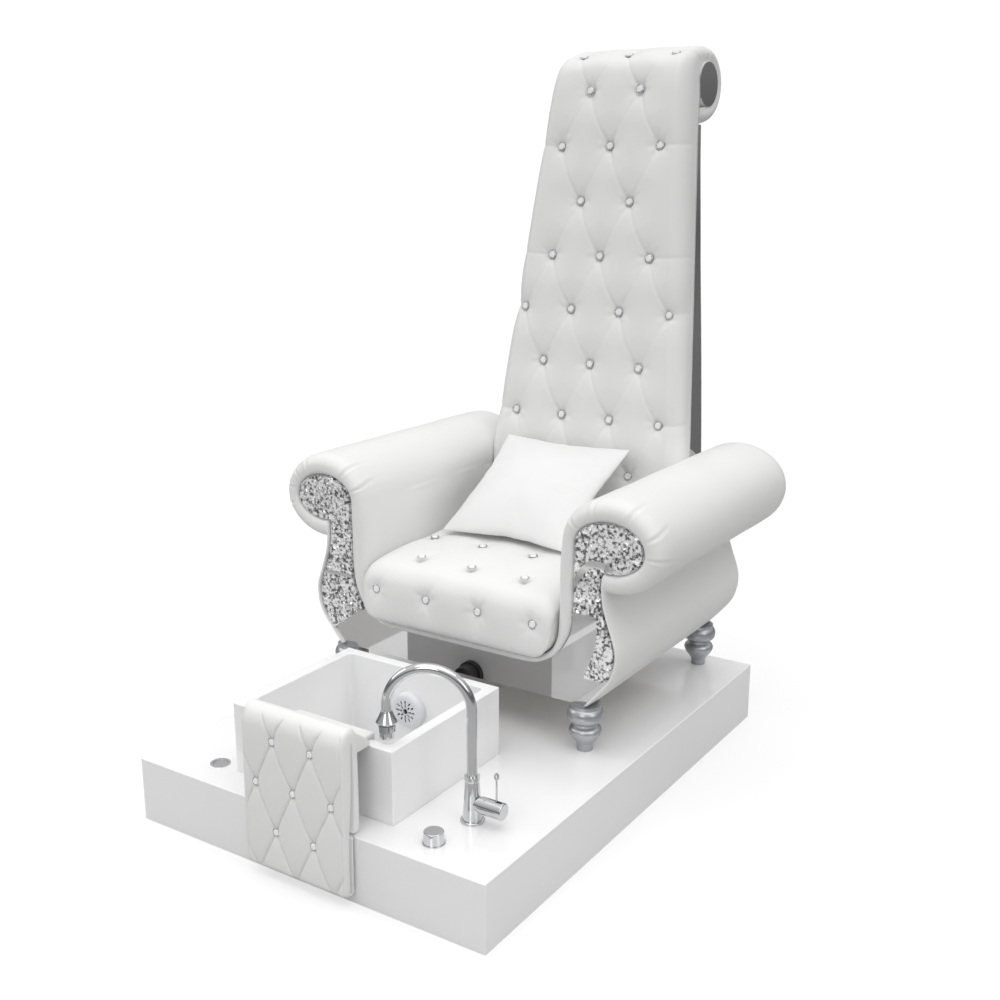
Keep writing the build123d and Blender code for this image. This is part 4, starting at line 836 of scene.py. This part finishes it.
turn = np.array(Matrix.Rotation(PILLOW_TILT, 3, "X"))
puffed = puffed @ turn.T + np.array(pillow_place)
loose_pillow.data.vertices.foreach_set("co", puffed.astype(np.float32).ravel())
loose_pillow.data.polygons.foreach_set("use_smooth", [True] * len(loose_pillow.data.polygons))
loose_pillow.data.materials.append(pillow_satin)
finer = loose_pillow.modifiers.new("finer", "SUBSURF")
finer.levels = finer.render_levels = 1
bpy.context.view_layer.objects.active = loose_pillow
bpy.ops.object.modifier_apply(modifier="finer")
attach(loose_pillow, "pillow")
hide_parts("pillow")
print("loose_pillow spans", [round(float(x), 3) for x in span])

# %% [markdown]
# ## Crystal buttons
# Each tufting button is a cut glass stone in a chrome ring. One stone and one ring are modelled, and
# copies are laid on every CAD button's place with the face turned along the leather's normal.


# %% One stone and one ring
def as_arrays(piece):
    """The points and polygons of a small model, after which the model is removed."""
    points = np.array([v.co for v in piece.data.vertices])
    polygons = [tuple(p.vertices) for p in piece.data.polygons]
    bpy.data.objects.remove(piece)
    return points, polygons


def cut_stone(sides, radius, height):
    """A brilliant: a girdle, a crown of facets and a flat table, made by extruding one face twice."""
    bpy.ops.object.select_all(action="DESELECT")
    bpy.ops.mesh.primitive_cylinder_add(vertices=sides, radius=radius, depth=height * 0.3,
                                        location=(0, 0, height * 0.15))
    stone = bpy.context.object
    bpy.ops.object.transform_apply(location=True)
    for share, rise, turn in ((0.80, 0.40, math.pi / sides), (0.50, 0.30, 0)):
        bpy.ops.object.mode_set(mode="EDIT")
        shape = bmesh.from_edit_mesh(stone.data)
        highest = max(v.co.z for v in shape.verts)
        for face in shape.faces:
            face.select_set(all(v.co.z > highest - 1e-6 for v in face.verts))
        bmesh.update_edit_mesh(stone.data)
        bpy.ops.mesh.extrude_region_move(TRANSFORM_OT_translate={"value": (0, 0, rise * height)})
        bpy.ops.transform.resize(value=(share, share, 1), center_override=(0, 0, 0))
        bpy.ops.transform.rotate(value=turn, orient_axis="Z", center_override=(0, 0, 0))
        bpy.ops.object.mode_set(mode="OBJECT")
    return as_arrays(stone)


def lay_copies(name, model, places, material):
    """Copies of a small model at places: (origin, normal, spin, scale). Returns one mesh piece."""
    points, polygons = model
    all_points, all_polygons = [], []
    for origin, up, spin, scale in places:
        turn = Vector(up).normalized().to_track_quat("Z", "Y").to_matrix() @ Matrix.Rotation(spin, 3, "Z")
        placed = points * scale @ np.array(turn).T + np.array(origin)
        shift = len(all_points) * len(points)
        all_points.append(placed)
        all_polygons += [tuple(i + shift for i in p) for p in polygons]
    mesh = bpy.data.meshes.new(name)
    mesh.from_pydata(np.vstack(all_points).tolist(), [], all_polygons)
    mesh.materials.append(material)
    piece = bpy.data.objects.new(name, mesh)
    bpy.context.scene.collection.objects.link(piece)
    return piece


button_stone = cut_stone(10, 9.6 * MM, 6.5 * MM)
bpy.ops.object.select_all(action="DESELECT")
bpy.ops.mesh.primitive_torus_add(major_radius=10.6 * MM, minor_radius=1.9 * MM, major_segments=28,
                                 minor_segments=8, location=(0, 0, 1.6 * MM))
bpy.ops.object.transform_apply(location=True)
button_ring = as_arrays(bpy.context.object)
print("stone", len(button_stone[1]), "faces, ring", len(button_ring[1]), "faces")

# %% Lay the buttons
back_up = Vector((0, -1, BACK_LEAN)).normalized()
back_places = []
for z_row, count in zip(row_heights, row_counts):
    for i in range(count):
        at = Vector(((i - (count - 1) / 2) * BACK_PITCH, back_front(z_row), z_row)) - back_up * 11
        back_places.append((at * MM, back_up, rng.uniform(0, 6), 1.0))
top_up = Vector((0, -0.35, 1)).normalized()
for x in (-145, 0, 145):
    back_places.append(((Vector((x, 790, 1849)) - top_up * 10) * MM, top_up, rng.uniform(0, 6), 1.0))
seat_places = [(Vector((x, -97 + 9, 470)) * MM, (0, -1, 0.05), rng.uniform(0, 6), 1.0) for x in SEAT_FRONT_X]
for y, xs in SEAT_TOP_ROWS:
    seat_places += [(Vector((x, y, 546)) * MM, (0, -0.05, 1), rng.uniform(0, 6), 1.0) for x in xs]
pad_places = [(Vector((23 + x * 54, -715 + 4.5, 232 + k * 108)) * MM, (0, -1, 0), rng.uniform(0, 6), 0.84)
              for x, k in ((-1, 1), (1, 1), (-2, 0), (0, 0), (2, 0), (-1, -1), (1, -1))]
for label, places, node, body in (("back", back_places, "back_buttons", "chair"),
                                  ("seat", seat_places, "seat_buttons", "chair"),
                                  ("footrest", pad_places, "footrest_buttons", "footrest")):
    stones = lay_copies(f"{label}_button_stones", button_stone, places, button_glass)
    rings = lay_copies(f"{label}_button_rings", button_ring, places, tap_chrome)
    for polygon in rings.data.polygons:
        polygon.use_smooth = True
    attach(stones, body)
    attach(rings, body)
    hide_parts(node)
    print(label, len(places), "buttons")

# %% [markdown]
# ## Crystal beds on the arms
# The arm fronts are paved with hundreds of small irregular glass chips. Each chip is a low faceted
# stone with few faces. Points on a shaken honeycomb are kept where a ray from the front
# meets the CAD crystal bed, so the paving has exactly the bed's outline.

# %% Pave the beds
chip = cut_stone(6, 7.8 * MM, 6.6 * MM)
for side in ("left", "right"):
    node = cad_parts[f"arm_crystals_{side}"]
    tree = BVHTree.FromPolygons([v.co for v in node.data.vertices], [p.vertices for p in node.data.polygons])
    low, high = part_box(node.name)
    places = []
    step_x, step_z = 10.4 * MM, 9.2 * MM
    for row in range(int((high[2] - low[2]) / step_z) + 2):
        for column in range(int((high[0] - low[0]) / step_x) + 2):
            x = low[0] + (column + 0.5 * (row % 2)) * step_x + rng.normal(0, 1.1 * MM)
            z = low[2] + row * step_z + rng.normal(0, 1.1 * MM)
            hits = [tree.ray_cast(Vector((x + dx, -0.2, z + dz)), Vector((0, 1, 0)))[0]
                    for dx, dz in ((0, 0), (0.0025, 0), (-0.0025, 0), (0, 0.0025), (0, -0.0025))]
            if all(h is not None and h.y < -0.068 for h in hits):
                tilt = Vector((rng.normal(0, 0.33), -1, rng.normal(0, 0.33)))
                spin, scale = rng.uniform(0, 6.28), rng.uniform(0.62, 0.98)
                places.append((Vector((x, low[1] + 4.6 * MM, z)), tilt, spin, scale))
    # the chips take the crystal finish, whose dark and bright patches are painted reflections
    bed = lay_copies(f"crystal_bed_{side}", chip, places, crystal)
    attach(bed, "chair")
    print(bed.name, len(places), "stones")
